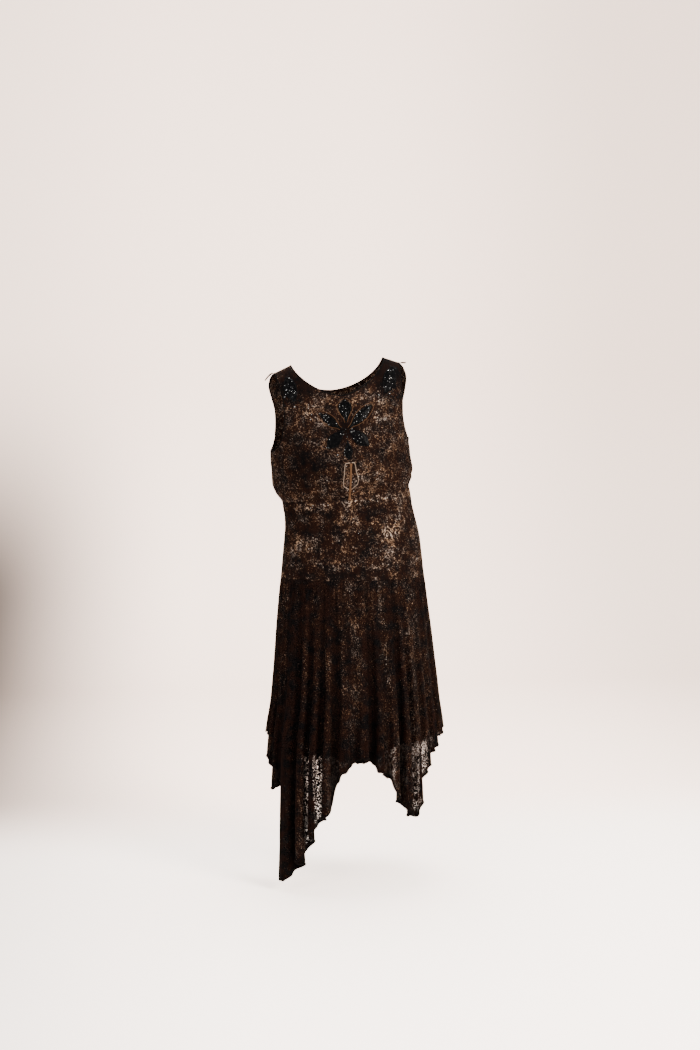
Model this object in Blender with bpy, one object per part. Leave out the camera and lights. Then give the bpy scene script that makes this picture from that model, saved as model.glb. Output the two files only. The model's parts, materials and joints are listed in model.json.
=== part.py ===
"""Sleeveless lace cocktail dress with a beaded front and a handkerchief hem.

It keeps its worn form, with no wearer. Metres, +Z up. The origin is the middle of the shoulder line,
which holds the dress up. The front faces -Y, and +X is the wearer's left, on the right when seen from
the front.
"""

import math
from collections import namedtuple

import bpy
import numpy as np
from mathutils import Vector
from mathutils.bvhtree import BVHTree

LACE_WALL = 0.0016  # lace with its metal thread, as thick as it lies
SLIP_WALL = 0.0012
SEAM_GAP = 0.0003
NECK_HALF_WIDTH = 0.121
FRONT_NECK_DEPTH = 0.089
BACK_NECK_DEPTH = 0.074
FRONT_NECK_ROUNDNESS = 1.5
BACK_NECK_ROUNDNESS = 1.8
SHOULDER_SLOPE = 0.40
SHOULDER_FADE = 0.20
ARMHOLE_DEPTH = 0.215
# The dress has slid towards the wearer's left, so one armhole lies further in than the other.
ARM_EDGE_SHIFT = 0.009
WAIST_SEAM = 0.343
HIP_SEAM = 0.552
SLIP_LENGTH = 0.945
SLIP_DIP = 0.035  # how much lower the slip hangs under the long point
SLIP_DIP_ANGLE = -38.0
FLUTE_DEPTH = 0.036
FLUTE_FULL_DROP = 1.10
FLUTE_STEEPNESS = 0.55
HEM_RUFFLE = 0.0022
BINDING_RADIUS = 0.0016
HEM_CORD_RADIUS = 0.0018
HEM_CORD_CLEAR = 0.0006
APPLIQUE_THICKNESS = 0.0021

# Each section of the dress: how far it lies under the shoulder line, its centre and half sizes, and how
# steeply it leans up towards the wearer's left.
Section = namedtuple("Section", "drop centre half_width front_depth back_depth lean")
SECTIONS = (
    Section(0.000, 0.000, 0.186, 0.000, 0.000, 0.088),
    Section(0.010, 0.000, 0.186, 0.034, 0.032, 0.088),
    Section(0.030, 0.000, 0.185, 0.058, 0.055, 0.088),
    Section(0.060, 0.000, 0.183, 0.078, 0.073, 0.088),
    Section(0.100, 0.001, 0.181, 0.096, 0.088, 0.088),
    Section(0.150, 0.002, 0.178, 0.113, 0.099, 0.088),
    Section(0.200, 0.006, 0.180, 0.125, 0.106, 0.090),
    Section(0.255, 0.010, 0.180, 0.131, 0.110, 0.100),
    Section(0.295, 0.015, 0.182, 0.128, 0.112, 0.114),
    Section(0.315, 0.018, 0.178, 0.122, 0.110, 0.120),
    Section(0.343, 0.023, 0.165, 0.110, 0.104, 0.122),
    Section(0.385, 0.030, 0.166, 0.111, 0.108, 0.096),
    Section(0.459, 0.039, 0.177, 0.119, 0.122, 0.030),
    Section(0.552, 0.041, 0.187, 0.128, 0.133, 0.000),
    Section(0.660, 0.043, 0.2005, 0.140, 0.146, 0.000),
    Section(0.768, 0.046, 0.211, 0.152, 0.158, 0.000),
    Section(0.871, 0.048, 0.222, 0.164, 0.170, 0.000),
    Section(0.954, 0.047, 0.233, 0.173, 0.181, 0.000),
    Section(1.050, 0.046, 0.238, 0.180, 0.189, 0.000),
    Section(1.330, 0.046, 0.246, 0.188, 0.198, 0.000),
)

# The armhole's edge, from the side seam up to the shoulder: half the width between the two armholes at
# each drop.
ArmEdge = namedtuple("ArmEdge", "drop half_width")
FRONT_ARM_EDGE = (
    ArmEdge(0.2150, 0.1770),
    ArmEdge(0.2090, 0.1700),
    ArmEdge(0.1930, 0.1610),
    ArmEdge(0.1650, 0.1545),
    ArmEdge(0.1300, 0.1515),
    ArmEdge(0.0900, 0.1520),
    ArmEdge(0.0500, 0.1545),
    ArmEdge(0.0150, 0.1580),
    ArmEdge(0.0000, 0.1600),
)
BACK_ARM_EDGE = (
    ArmEdge(0.2150, 0.1770),
    ArmEdge(0.2070, 0.1715),
    ArmEdge(0.1850, 0.1650),
    ArmEdge(0.1500, 0.1620),
    ArmEdge(0.1100, 0.1640),
    ArmEdge(0.0650, 0.1715),
    ArmEdge(0.0300, 0.1765),
    ArmEdge(0.0080, 0.1700),
    ArmEdge(0.0000, 0.1600),
)

# The valleys between the skirt's flutes: where each lies round the dress, in degrees from the front, and
# its share of the full flute depth.
Valley = namedtuple("Valley", "angle depth")
VALLEYS = (
    Valley(-178.0, 0.75),
    Valley(-165.0, 0.90),
    Valley(-152.0, 0.65),
    Valley(-139.5, 0.95),
    Valley(-127.5, 0.65),
    Valley(-115.0, 0.60),
    Valley(-105.0, 0.75),
    Valley(-95.0, 0.50),
    Valley(-84.0, 0.55),
    Valley(-73.5, 0.60),
    Valley(-64.5, 0.50),
    Valley(-49.0, 0.95),
    Valley(-39.0, 0.90),
    Valley(-29.5, 0.90),
    Valley(-19.5, 0.85),
    Valley(-6.0, 0.45),
    Valley(5.5, 0.95),
    Valley(15.0, 0.50),
    Valley(26.0, 0.95),
    Valley(34.6, 0.75),
    Valley(43.5, 0.45),
    Valley(53.0, 0.45),
    Valley(65.0, 0.55),
    Valley(78.0, 0.60),
    Valley(91.0, 0.70),
    Valley(104.0, 0.90),
    Valley(117.0, 0.65),
    Valley(130.0, 0.95),
    Valley(143.0, 0.70),
    Valley(156.0, 0.85),
    Valley(169.0, 0.65),
)
COLUMNS_PER_FLUTE = 6

# The handkerchief hem, round the dress from the back: its drop at each angle.
HemPoint = namedtuple("HemPoint", "angle drop")
HEM = (
    HemPoint(-180.0, 1.085),
    HemPoint(-165.0, 1.068),
    HemPoint(-150.0, 1.060),
    HemPoint(-136.0, 1.084),
    HemPoint(-121.0, 1.134),
    HemPoint(-111.0, 1.050),
    HemPoint(-101.0, 0.965),
    HemPoint(-92.0, 0.950),
    HemPoint(-80.0, 0.956),
    HemPoint(-71.5, 0.962),
    HemPoint(-69.0, 1.020),
    HemPoint(-64.0, 1.080),
    HemPoint(-61.0, 1.208),
    HemPoint(-59.0, 1.322),
    HemPoint(-55.0, 1.316),
    HemPoint(-51.0, 1.298),
    HemPoint(-46.0, 1.272),
    HemPoint(-42.0, 1.250),
    HemPoint(-39.5, 1.232),
    HemPoint(-35.0, 1.184),
    HemPoint(-32.0, 1.173),
    HemPoint(-28.5, 1.158),
    HemPoint(-25.0, 1.142),
    HemPoint(-21.5, 1.124),
    HemPoint(-19.0, 1.062),
    HemPoint(-15.0, 1.040),
    HemPoint(-11.0, 1.022),
    HemPoint(-6.5, 1.006),
    HemPoint(-2.0, 0.994),
    HemPoint(3.0, 0.998),
    HemPoint(8.0, 1.024),
    HemPoint(14.0, 1.044),
    HemPoint(18.5, 1.060),
    HemPoint(21.0, 1.092),
    HemPoint(25.5, 1.118),
    HemPoint(29.5, 1.136),
    HemPoint(33.0, 1.153),
    HemPoint(36.0, 1.160),
    HemPoint(39.0, 1.130),
    HemPoint(43.0, 1.082),
    HemPoint(47.0, 1.040),
    HemPoint(52.0, 1.017),
    HemPoint(56.0, 0.998),
    HemPoint(64.0, 0.972),
    HemPoint(85.0, 0.955),
    HemPoint(105.0, 0.985),
    HemPoint(125.0, 1.020),
    HemPoint(145.0, 1.040),
    HemPoint(164.0, 1.092),
    HemPoint(180.0, 1.085),
)

# Soft creases in the bodice and hip band: middle, reach and slope of each trough, and how deep it is.
Crease = namedtuple("Crease", "angle drop angle_reach drop_reach slope depth")
CREASES = (
    Crease(-62.0, 0.283, 26.0, 0.010, -0.10, 0.0040),
    Crease(66.0, 0.290, 24.0, 0.009, 0.12, 0.0050),
    Crease(-70.0, 0.245, 20.0, 0.012, 0.14, 0.0035),
    Crease(58.0, 0.243, 26.0, 0.010, -0.08, 0.0030),
    Crease(-32.0, 0.308, 18.0, 0.010, 0.04, 0.0025),
    Crease(34.0, 0.312, 20.0, 0.010, 0.02, 0.0025),
    Crease(-48.0, 0.395, 22.0, 0.012, 0.16, 0.0030),
    Crease(52.0, 0.385, 24.0, 0.011, -0.14, 0.0035),
    Crease(-140.0, 0.300, 26.0, 0.011, 0.08, 0.0040),
    Crease(148.0, 0.305, 26.0, 0.011, -0.06, 0.0040),
    Crease(170.0, 0.255, 30.0, 0.014, 0.05, 0.0030),
    Crease(-165.0, 0.392, 28.0, 0.012, 0.10, 0.0030),
)

BODICE_HALF_COLUMNS = 10
SIDE_ROWS = 5
ARM_ROWS = 6
STRAP_ROWS = 8
STRAP_START = 0.44  # where the armhole passes the foot of the neckline, as a share of its edge
HIP_COLUMNS = 20
HIP_ROWS = 4
SKIRT_ROWS = 8
SLIP_COLUMNS = 40
SLIP_ROWS = 5


def smooth_through(positions, values, wanted):
    """A curve through the values that never overshoots them: cubic pieces with limited slopes."""
    positions = np.asarray(positions, float)
    values = np.asarray(values, float)
    widths = np.diff(positions)
    rises = np.diff(values) / widths
    slopes = np.zeros(len(values))
    same_way = rises[:-1] * rises[1:] > 0
    left_weight = 2 * widths[1:] + widths[:-1]
    right_weight = widths[1:] + 2 * widths[:-1]
    safe_left = np.where(same_way, rises[:-1], 1.0)
    safe_right = np.where(same_way, rises[1:], 1.0)
    harmonic = (left_weight + right_weight) / (left_weight / safe_left + right_weight / safe_right)
    slopes[1:-1] = np.where(same_way, harmonic, 0.0)
    slopes[0], slopes[-1] = rises[0], rises[-1]
    wanted = np.clip(np.asarray(wanted, float), positions[0], positions[-1])
    piece = np.clip(np.searchsorted(positions, wanted, side="right") - 1, 0, len(widths) - 1)
    width = widths[piece]
    t = (wanted - positions[piece]) / width
    start = (1 + 2 * t) * (1 - t) ** 2 * values[piece] + t * (1 - t) ** 2 * width * slopes[piece]
    end = t * t * (3 - 2 * t) * values[piece + 1] + t * t * (t - 1) * width * slopes[piece + 1]
    return start + end


def smooth_step(value):
    """0 below 0, 1 above 1, with a soft turn between."""
    value = np.clip(value, 0.0, 1.0)
    return value * value * (3 - 2 * value)


def column(table, name):
    return [getattr(row, name) for row in table]


def section_value(name, drop):
    """A named size at a drop, read along the root of the drop, in which the shoulder is round."""
    return smooth_through(np.sqrt(column(SECTIONS, "drop")), column(SECTIONS, name), np.sqrt(drop))


def wrapped(angle):
    """The same angle from -180 to 180 degrees."""
    return (np.asarray(angle, float) + 180.0) % 360.0 - 180.0


def flute_phase(angle):
    """Turns round the flutes at an angle: whole numbers at the valleys."""
    angles = column(VALLEYS, "angle")
    ring = [angles[-1] - 360.0, *angles, angles[0] + 360.0, angles[1] + 360.0]
    return smooth_through(ring, np.arange(-1.0, len(ring) - 1.0), wrapped(angle))


def flute_depth(angle, drop):
    """How deep the nearest valleys are, growing from nothing at the hip seam."""
    angles = column(VALLEYS, "angle")
    depths = column(VALLEYS, "depth")
    ring = [angles[-1] - 360.0, *angles, angles[0] + 360.0, angles[1] + 360.0]
    share = smooth_through(ring, [depths[-1], *depths, depths[0], depths[1]], wrapped(angle))
    grown = np.clip((drop - HIP_SEAM) / (FLUTE_FULL_DROP - HIP_SEAM), 0.0, 1.35)
    return FLUTE_DEPTH * share * grown**1.15


def hem_drop(angle):
    return smooth_through(column(HEM, "angle"), column(HEM, "drop"), wrapped(angle))


def crease_push(angle, drop):
    """How far the soft creases push the cloth in at each point."""
    push = np.zeros(np.broadcast(angle, drop).shape)
    for crease in CREASES:
        across = wrapped(angle - crease.angle) / crease.angle_reach
        middle = crease.drop + crease.slope * across * crease.angle_reach / 100
        along = (drop - middle) / crease.drop_reach
        push += crease.depth * np.exp(-(across**2) - along**2)
    return push


def surface(angle, root, sink=0.0):
    """A point of the cloth's outer face.

    Angle is in degrees round the dress, and root is the square root of the drop. A negative root runs on
    over the shoulder to the other side. Sink moves the point in by that much.
    """
    angle = np.asarray(angle, float)
    root = np.asarray(root, float)
    drop = root * root
    turn = np.radians(angle)
    centre = section_value("centre", drop)
    half_width = section_value("half_width", drop)
    front = section_value("front_depth", drop)
    back = section_value("back_depth", drop)
    depth = np.where(np.cos(turn) > 0, front, back) * np.where(root < 0, -1.0, 1.0)
    phase = 2 * math.pi * flute_phase(angle)
    flute = flute_depth(angle, drop)
    inward = flute * (0.5 + 0.5 * np.cos(phase)) ** 1.15 + crease_push(angle, drop) + sink
    sideways = flute * FLUTE_STEEPNESS * 0.5 * np.sin(2 * phase) * 0.5
    x = centre + half_width * np.sin(turn) - inward * np.sin(turn) + sideways * np.cos(turn)
    y = -depth * np.cos(turn) + inward * np.cos(turn) + sideways * np.sin(turn)
    shoulder = -SHOULDER_SLOPE * np.maximum(np.abs(x) - NECK_HALF_WIDTH, 0.0)
    shoulder = shoulder * (1 - smooth_step(drop / SHOULDER_FADE))
    z = -drop + shoulder + section_value("lean", drop) * x
    return np.stack(np.broadcast_arrays(x, y, z), axis=-1)


def surface_normal(angle, root, sink=0.0):
    """The outward normal of the cloth, from small steps on both sides of the point."""
    angle_step, root_step = 0.05, 0.0005
    around = surface(angle + angle_step, root, sink) - surface(angle - angle_step, root, sink)
    down = surface(angle, root + root_step, sink) - surface(angle, root - root_step, sink)
    normal = np.cross(down, around)
    return normal / np.linalg.norm(normal, axis=-1, keepdims=True)


def angle_at(half_distance, drop):
    """The angle from the front at which the dress is this far to the side."""
    share = half_distance / section_value("half_width", drop)
    return np.degrees(np.arcsin(np.clip(share, -1.0, 1.0)))


def seam_angle(drop):
    """A side seam's angle at a drop, half a seam gap short of the side."""
    return 90.0 - np.degrees(0.5 * SEAM_GAP / np.maximum(section_value("front_depth", drop), 0.01))


def finish_material(name, colour, roughness, metallic=0.0):
    material = bpy.data.materials.new(name)
    material.use_nodes = True
    shader = material.node_tree.nodes["Principled BSDF"]
    shader.inputs["Base Color"].default_value = (*colour, 1.0)
    shader.inputs["Roughness"].default_value = roughness
    shader.inputs["Metallic"].default_value = metallic
    material.diffuse_color = (*colour, 1.0)
    return material


def add_object(name, points, faces, material):
    """One closed body as an object, shaded smooth but for its sharp edges."""
    mesh = bpy.data.meshes.new(name)
    mesh.from_pydata([tuple(point) for point in points], [], [tuple(face) for face in faces])
    mesh.update()
    mesh.shade_smooth()
    mesh.set_sharp_from_angle(angle=math.radians(50))
    mesh.materials.append(material)
    body = bpy.data.objects.new(name, mesh)
    body.parent = dress
    bpy.context.scene.collection.objects.link(body)
    face_out(body)
    return body


def walled(outer, inner, faces):
    """Closes two matching skins into one wall, with a rim at each open edge.

    Each quad is split along its shorter diagonal, the same one on both skins, so that they never cross.
    """
    count = len(outer)
    edges = {(start, end) for face in faces for start, end in zip(face, (*face[1:], face[0]))}
    rim = [(end, start, start + count, end + count) for start, end in edges if (end, start) not in edges]
    front = []
    for a, b, c, d in faces:
        if np.linalg.norm(outer[a] - outer[c]) <= np.linalg.norm(outer[b] - outer[d]):
            front += [(a, b, c), (a, c, d)]
        else:
            front += [(a, b, d), (b, c, d)]
    back = [(a + count, c + count, b + count) for a, b, c in front]
    return np.concatenate([outer, inner]), [*front, *back, *sorted(rim)]


def grid_faces(index):
    """Quads of a grid of point numbers, rows running down the dress and columns running to +X."""
    return [
        (index[row, col], index[row + 1, col], index[row + 1, col + 1], index[row, col + 1])
        for row in range(index.shape[0] - 1)
        for col in range(index.shape[1] - 1)
        if index[row, col] != index[row, col + 1]
    ]


def add_panel(name, angle, root, faces, material, wall=LACE_WALL, sink=0.0):
    """A panel of cloth: its points on the dress, given the wall's thickness inwards."""
    outer = surface(angle, root, sink)
    inner = outer - surface_normal(angle, root, sink) * wall
    points, all_faces = walled(outer, inner, faces)
    return add_object(name, points, all_faces, material)


def add_tube(name, centres, across, up, material, sides=5, size=(BINDING_RADIUS, BINDING_RADIUS)):
    """A closed ring of cord along the centres, with its own two directions at each."""
    turns = np.arange(sides) * 2 * math.pi / sides
    ring = (
        centres[:, None, :]
        + across[:, None, :] * (size[0] * np.cos(turns))[None, :, None]
        + up[:, None, :] * (size[1] * np.sin(turns))[None, :, None]
    )
    count = len(centres)
    faces = [
        (
            here * sides + side,
            there * sides + side,
            there * sides + (side + 1) % sides,
            here * sides + (side + 1) % sides,
        )
        for here, there in ((n, (n + 1) % count) for n in range(count))
        for side in range(sides)
    ]
    return add_object(name, ring.reshape(-1, 3), faces, material)


def face_out(body):
    """Turns a closed body's faces outwards if they point in."""
    mesh = body.data
    mesh.calc_loop_triangles()
    volume = sum(
        mesh.vertices[a].co.dot(mesh.vertices[b].co.cross(mesh.vertices[c].co))
        for a, b, c in (triangle.vertices for triangle in mesh.loop_triangles)
    )
    if volume < 0:
        mesh.flip_normals()


def neckline(share, side):
    """Angle and root of the drop along half a neckline: 0 at its lowest point, 1 at the shoulder.

    Side is 1 in front and -1 behind.
    """
    depth = FRONT_NECK_DEPTH if side > 0 else BACK_NECK_DEPTH
    roundness = FRONT_NECK_ROUNDNESS if side > 0 else BACK_NECK_ROUNDNESS
    turn = share * math.pi / 2
    half = NECK_HALF_WIDTH * np.sin(turn) ** (2 / roundness)
    drop = depth * np.cos(turn) ** (2 / roundness)
    drop = np.where(share >= 1.0, 0.0, drop)
    return angle_at(half, drop), np.sqrt(drop)


def arm_edge(share, side, way):
    """Angle and root of the drop along an armhole's edge: 0 at the side seam, 1 at the shoulder.

    Side is 1 in front and -1 behind, and way is 1 on the wearer's left and -1 on the right.
    """
    table = FRONT_ARM_EDGE if side > 0 else BACK_ARM_EDGE
    drops, halves = np.array(column(table, "drop")), np.array(column(table, "half_width"))
    length = np.concatenate([[0.0], np.cumsum(np.hypot(np.diff(drops), np.diff(halves)))])
    drop = np.maximum(smooth_through(length / length[-1], drops, share), 0.0)
    half = smooth_through(length / length[-1], halves, share)
    half = half + way * ARM_EDGE_SHIFT * np.sin(math.pi * np.clip(share, 0.0, 1.0))
    angle = np.where(share <= 0.0, seam_angle(drop), angle_at(half, drop))
    return np.minimum(angle, seam_angle(drop)), np.sqrt(drop)


def arm_shares():
    """The shares of an armhole's edge at which a bodice panel has its points."""
    rising = np.linspace(0.0, 1.0, STRAP_ROWS + 1)[1:]
    return np.concatenate([
        np.linspace(0.0, STRAP_START, ARM_ROWS + 1),
        STRAP_START + (1 - STRAP_START) * rising**1.25,
    ])


def bodice_layout(side):
    """Angles, roots and faces of a bodice panel: its body under the neckline, then a strap on each side."""
    columns = BODICE_HALF_COLUMNS
    side_drops = np.linspace(WAIST_SEAM - SEAM_GAP / 2, ARMHOLE_DEPTH, SIDE_ROWS)[:-1]
    neck_depth = FRONT_NECK_DEPTH if side > 0 else BACK_NECK_DEPTH
    middle_roots = np.sqrt(np.linspace(WAIST_SEAM - SEAM_GAP / 2, neck_depth, SIDE_ROWS + ARM_ROWS))
    rising = np.linspace(0.0, 1.0, STRAP_ROWS + 1)[1:]
    neck_angles, neck_roots = neckline(rising, side)
    over = np.linspace(0.0, 1.0, columns + 1)
    halves, straps = {}, {}
    for way in (1, -1):
        edge_angles, edge_roots = arm_edge(arm_shares(), side, way)
        side_angles = np.concatenate([seam_angle(side_drops), edge_angles[: ARM_ROWS + 1]])
        side_roots = np.concatenate([np.sqrt(side_drops), edge_roots[: ARM_ROWS + 1]])
        halves[way] = (
            way * side_angles[:, None] * over[None, :],
            middle_roots[:, None] + (side_roots - middle_roots)[:, None] * over[None, :],
        )
        strap_widths = edge_angles[ARM_ROWS + 1 :] - neck_angles
        strap_drops = edge_roots[ARM_ROWS + 1 :] - neck_roots
        strap_angles = neck_angles[:, None] + strap_widths[:, None] * over[None, :]
        strap_roots = neck_roots[:, None] + strap_drops[:, None] * over[None, :]
        # The shoulder seam stops half a gap short of the other panel, whose depth grows with the root of
        # the drop.
        depth_name = "front_depth" if side > 0 else "back_depth"
        steepness = getattr(SECTIONS[1], depth_name) / math.sqrt(SECTIONS[1].drop)
        strap_roots[-1] = SEAM_GAP / 2 / (steepness * np.cos(np.radians(strap_angles[-1])))
        straps[way] = (way * strap_angles, strap_roots)
    body_angles, body_roots = (np.hstack([halves[-1][part][:, :0:-1], halves[1][part]]) for part in (0, 1))

    angles, roots = [body_angles.ravel()], [body_roots.ravel()]
    body_index = np.arange(body_angles.size).reshape(body_angles.shape)
    faces = grid_faces(body_index[::-1])
    total = body_angles.size
    for way in (1, -1):
        strap = np.arange(straps[way][0].size).reshape(straps[way][0].shape) + total
        angles.append(straps[way][0].ravel())
        roots.append(straps[way][1].ravel())
        total += strap.size
        foot = body_index[-1, columns:] if way > 0 else body_index[-1, columns::-1]
        index = np.vstack([foot[None, :], strap])[::-1]
        faces += grid_faces(index if way > 0 else index[:, ::-1])
    angles, roots = np.concatenate(angles), np.concatenate(roots)
    if side < 0:
        # Turning to the back keeps each strap on its own side.
        angles = 180.0 - angles
        faces = [tuple(reversed(face)) for face in faces]
    return angles, roots, faces


def add_bodice():
    for name, side in (("bodice_front", 1), ("bodice_back", -1)):
        angles, roots, faces = bodice_layout(side)
        add_panel(name, angles, roots, faces, lace_material)


def add_hip_band():
    """The band between the dropped waist and the skirt, in a front and a back piece."""
    drops = np.linspace(WAIST_SEAM + SEAM_GAP / 2, HIP_SEAM - SEAM_GAP / 2, HIP_ROWS + 1)
    for name, turned in (("hip_band_front", 0.0), ("hip_band_back", 180.0)):
        edge = seam_angle(drops)[:, None]
        angles = edge * np.linspace(-1.0, 1.0, HIP_COLUMNS + 1)[None, :] + turned
        roots = np.sqrt(drops)[:, None] + 0 * angles
        index = np.arange(angles.size).reshape(angles.shape)
        add_panel(name, angles.ravel(), roots.ravel(), grid_faces(index), lace_material)


def flute_columns():
    """The angles of the skirt's columns, each flute having the same number, from the first valley on."""
    angles = column(VALLEYS, "angle")
    ring = np.array([*angles, angles[0] + 360.0])
    phases = np.arange(len(angles) * COLUMNS_PER_FLUTE) / COLUMNS_PER_FLUTE
    wide = np.concatenate([[ring[-2] - 360.0], ring, [ring[1] + 360.0]])
    return smooth_through(np.arange(-1.0, len(ring) + 1.0), wide, phases)


def skirt_rows(angles, top, bottom):
    """Roots of the drop for each row and column, closer together near the hip seam and the hem."""
    rise = np.linspace(0.0, 1.0, SKIRT_ROWS + 1)
    rise = rise + 0.06 * np.sin(2 * math.pi * rise)
    return np.sqrt(top + (bottom - top)[None, :] * rise[:, None])


def hem_wave(count):
    """The small in-and-out ruffle of the hem at each column: one wave to every three columns."""
    return HEM_RUFFLE * np.cos(np.arange(count) * 2 * math.pi / 3)


def add_skirt():
    """Front and back of the skirt, its flutes deepening from the hip seam to the handkerchief hem."""
    every = flute_columns()
    waves = hem_wave(len(every))
    for name, low, high in (("skirt_front", -90.0, 90.0), ("skirt_back", 90.0, 270.0)):
        turned = np.where(every < low - 1e-9, every + 360.0, every)
        inside = (turned > low + 0.8) & (turned < high - 0.8)
        order = np.argsort(turned[inside])
        middle = turned[inside][order]
        short = 90.0 - seam_angle(HIP_SEAM)
        angles = np.concatenate([[low + short], middle, [high - short]])
        ruffle = np.concatenate([[0.0], waves[inside][order], [0.0]])
        roots = skirt_rows(angles, HIP_SEAM + SEAM_GAP / 2, hem_drop(angles))
        wide = np.broadcast_to(angles, roots.shape)
        sink = np.zeros(roots.shape)
        sink[-1] = ruffle
        index = np.arange(roots.size).reshape(roots.shape)
        add_panel(name, wide.ravel(), roots.ravel(), grid_faces(index), lace_material, sink=sink.ravel())


def slip_sink(angle, drop):
    """The slip hangs inside the lace, clear of the deepest valleys."""
    clear = FLUTE_DEPTH * 1.05 * np.clip((drop - HIP_SEAM) / (FLUTE_FULL_DROP - HIP_SEAM), 0.0, 1.0) ** 1.0
    return LACE_WALL + SEAM_GAP * 1.3 + clear


def slip_surface(angle, drop, deeper=0.0):
    """A smooth ring a little inside the skirt's unfluted outline."""
    turn = np.radians(angle)
    sink = slip_sink(angle, drop) + deeper
    half_width = section_value("half_width", drop) - sink
    front, back = section_value("front_depth", drop), section_value("back_depth", drop)
    depth = np.where(np.cos(turn) > 0, front, back) - sink
    x = section_value("centre", drop) + half_width * np.sin(turn)
    return np.stack([x, -depth * np.cos(turn), -drop], axis=-1)


def add_underslip():
    """The dark slip under the lace skirt, from the hip seam to its own straight hem."""
    angles = np.linspace(-180.0, 180.0, SLIP_COLUMNS, endpoint=False)[None, :]
    hem = SLIP_LENGTH + SLIP_DIP * np.exp(-((wrapped(angles - SLIP_DIP_ANGLE) / 25) ** 2))
    drop = HIP_SEAM + 0.002 + (hem - HIP_SEAM - 0.002) * np.linspace(0.0, 1.0, SLIP_ROWS + 1)[:, None]
    angle = angles + 0 * drop
    outer = slip_surface(angle, drop).reshape(-1, 3)
    inner = slip_surface(angle, drop, SLIP_WALL).reshape(-1, 3)
    index = np.arange(angle.size).reshape(angle.shape)
    index = np.hstack([index, index[:, :1]])
    points, faces = walled(outer, inner, grid_faces(index))
    add_object("underslip", points, faces, slip_material)


def edge_directions(edge, normal):
    """At each point of a closed edge, the way square to it in the cloth, and its mitre."""
    ahead = np.roll(edge, -1, axis=0) - edge
    ahead /= np.linalg.norm(ahead, axis=1, keepdims=True)
    along = ahead + np.roll(ahead, 1, axis=0)
    along /= np.linalg.norm(along, axis=1, keepdims=True)
    away = np.cross(along, normal)
    away /= np.linalg.norm(away, axis=1, keepdims=True)
    mitre = np.maximum(np.sum(along * ahead, axis=1, keepdims=True), 0.5)
    return away, mitre


def add_binding(
    name, angles, roots, radius, material, sides=5, sink=0.0, outside=None, clear=SEAM_GAP * 1.2
):
    """A narrow rolled binding along a closed cut edge of the cloth, just clear of it and in its plane.

    It goes on the side of the edge that the outside point lies on: the middle of an opening, or a place
    past the hem.
    """
    normal = surface_normal(angles, roots, sink)
    edge = surface(angles, roots, sink) - normal * LACE_WALL / 2
    away, mitre = edge_directions(edge, normal)
    outside = edge.mean(axis=0) if outside is None else np.array(outside)
    way = 1.0 if np.mean(np.sum((outside[None, :] - edge) * away, axis=1)) > 0 else -1.0
    centres = edge + way * away * (radius + clear) / mitre
    add_tube(name, centres, away, normal, material, sides, (radius, radius))


def add_neck_binding():
    rising = np.linspace(0.0, 1.0, STRAP_ROWS + 1)
    front_angle, front_root = neckline(rising, 1)
    back_angle, back_root = neckline(rising, -1)
    half_angles = np.concatenate([front_angle, 180.0 - back_angle[-2::-1]])
    half_roots = np.concatenate([front_root, back_root[-2::-1]])
    angles = np.concatenate([half_angles, -half_angles[-2:0:-1]])
    roots = np.concatenate([half_roots, half_roots[-2:0:-1]])
    add_binding("neck_binding", angles, roots, BINDING_RADIUS, binding_material)


def add_armhole_bindings():
    for name, way in (("armhole_binding_left", 1), ("armhole_binding_right", -1)):
        front_angle, front_root = arm_edge(arm_shares(), 1, way)
        back_angle, back_root = arm_edge(arm_shares(), -1, way)
        front_angle[0] = 90.0
        angles = np.concatenate([front_angle, 180.0 - back_angle[-2:0:-1]]) * way
        roots = np.concatenate([front_root, back_root[-2:0:-1]])
        add_binding(name, angles, roots, BINDING_RADIUS, binding_material)


def add_shoulder_ends():
    """The loose end of each armhole binding: a thin tapering cord that stands off the shoulder."""
    ends = (("binding_end_left", 1, 0.0054, 0.014, 0.000), ("binding_end_right", -1, 0.0046, 0.021, 0.019))
    for name, way, stand, length, droop in ends:
        reach = np.linspace(0.0, 1.0, 5)
        angle, root = arm_edge(np.array([1.0]), 1, way)
        edge = surface(way * angle, root)[0]
        x = edge[0] + way * (stand + length * reach)
        z = edge[2] - 0.5 * BINDING_RADIUS - droop * reach**1.6
        centres = np.stack([x, -0.004 * reach, z], axis=1)
        size = BINDING_RADIUS * (0.75 - 0.45 * reach)
        turns = np.arange(5) * 2 * math.pi / 5
        slope = np.gradient(z, x)
        up = np.stack([-slope, 0 * x, 1 + 0 * x], axis=1) / np.hypot(slope, 1)[:, None]
        ring = (
            centres[:, None, :]
            + np.array([0.0, 1.0, 0.0]) * (size[:, None] * np.cos(turns))[..., None]
            + up[:, None, :] * (size[:, None] * np.sin(turns))[..., None]
        )
        faces = [
            (row * 5 + side, row * 5 + 5 + side, row * 5 + 5 + (side + 1) % 5, row * 5 + (side + 1) % 5)
            for row in range(4)
            for side in range(5)
        ]
        caps = [tuple(range(5)), tuple(range(24, 19, -1))]
        add_object(name, ring.reshape(-1, 3), [*faces, *caps], binding_material)


def add_hem_edging():
    """A firm corded edge all round the handkerchief hem, following each flute and ruffle."""
    angles = flute_columns()
    roots = np.sqrt(hem_drop(angles))
    waves = hem_wave(len(angles))
    under = (0.04, 0.0, -9.0)
    radius, clear = HEM_CORD_RADIUS, HEM_CORD_CLEAR
    add_binding("hem_edging", angles, roots, radius, edging_material, 4, waves, under, clear)


def at_place(x, drop):
    """Angle and root of a spot on the bodice front, from its distance to the side and its drop."""
    half = x - section_value("centre", drop)
    return angle_at(half, drop), np.sqrt(drop)


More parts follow.
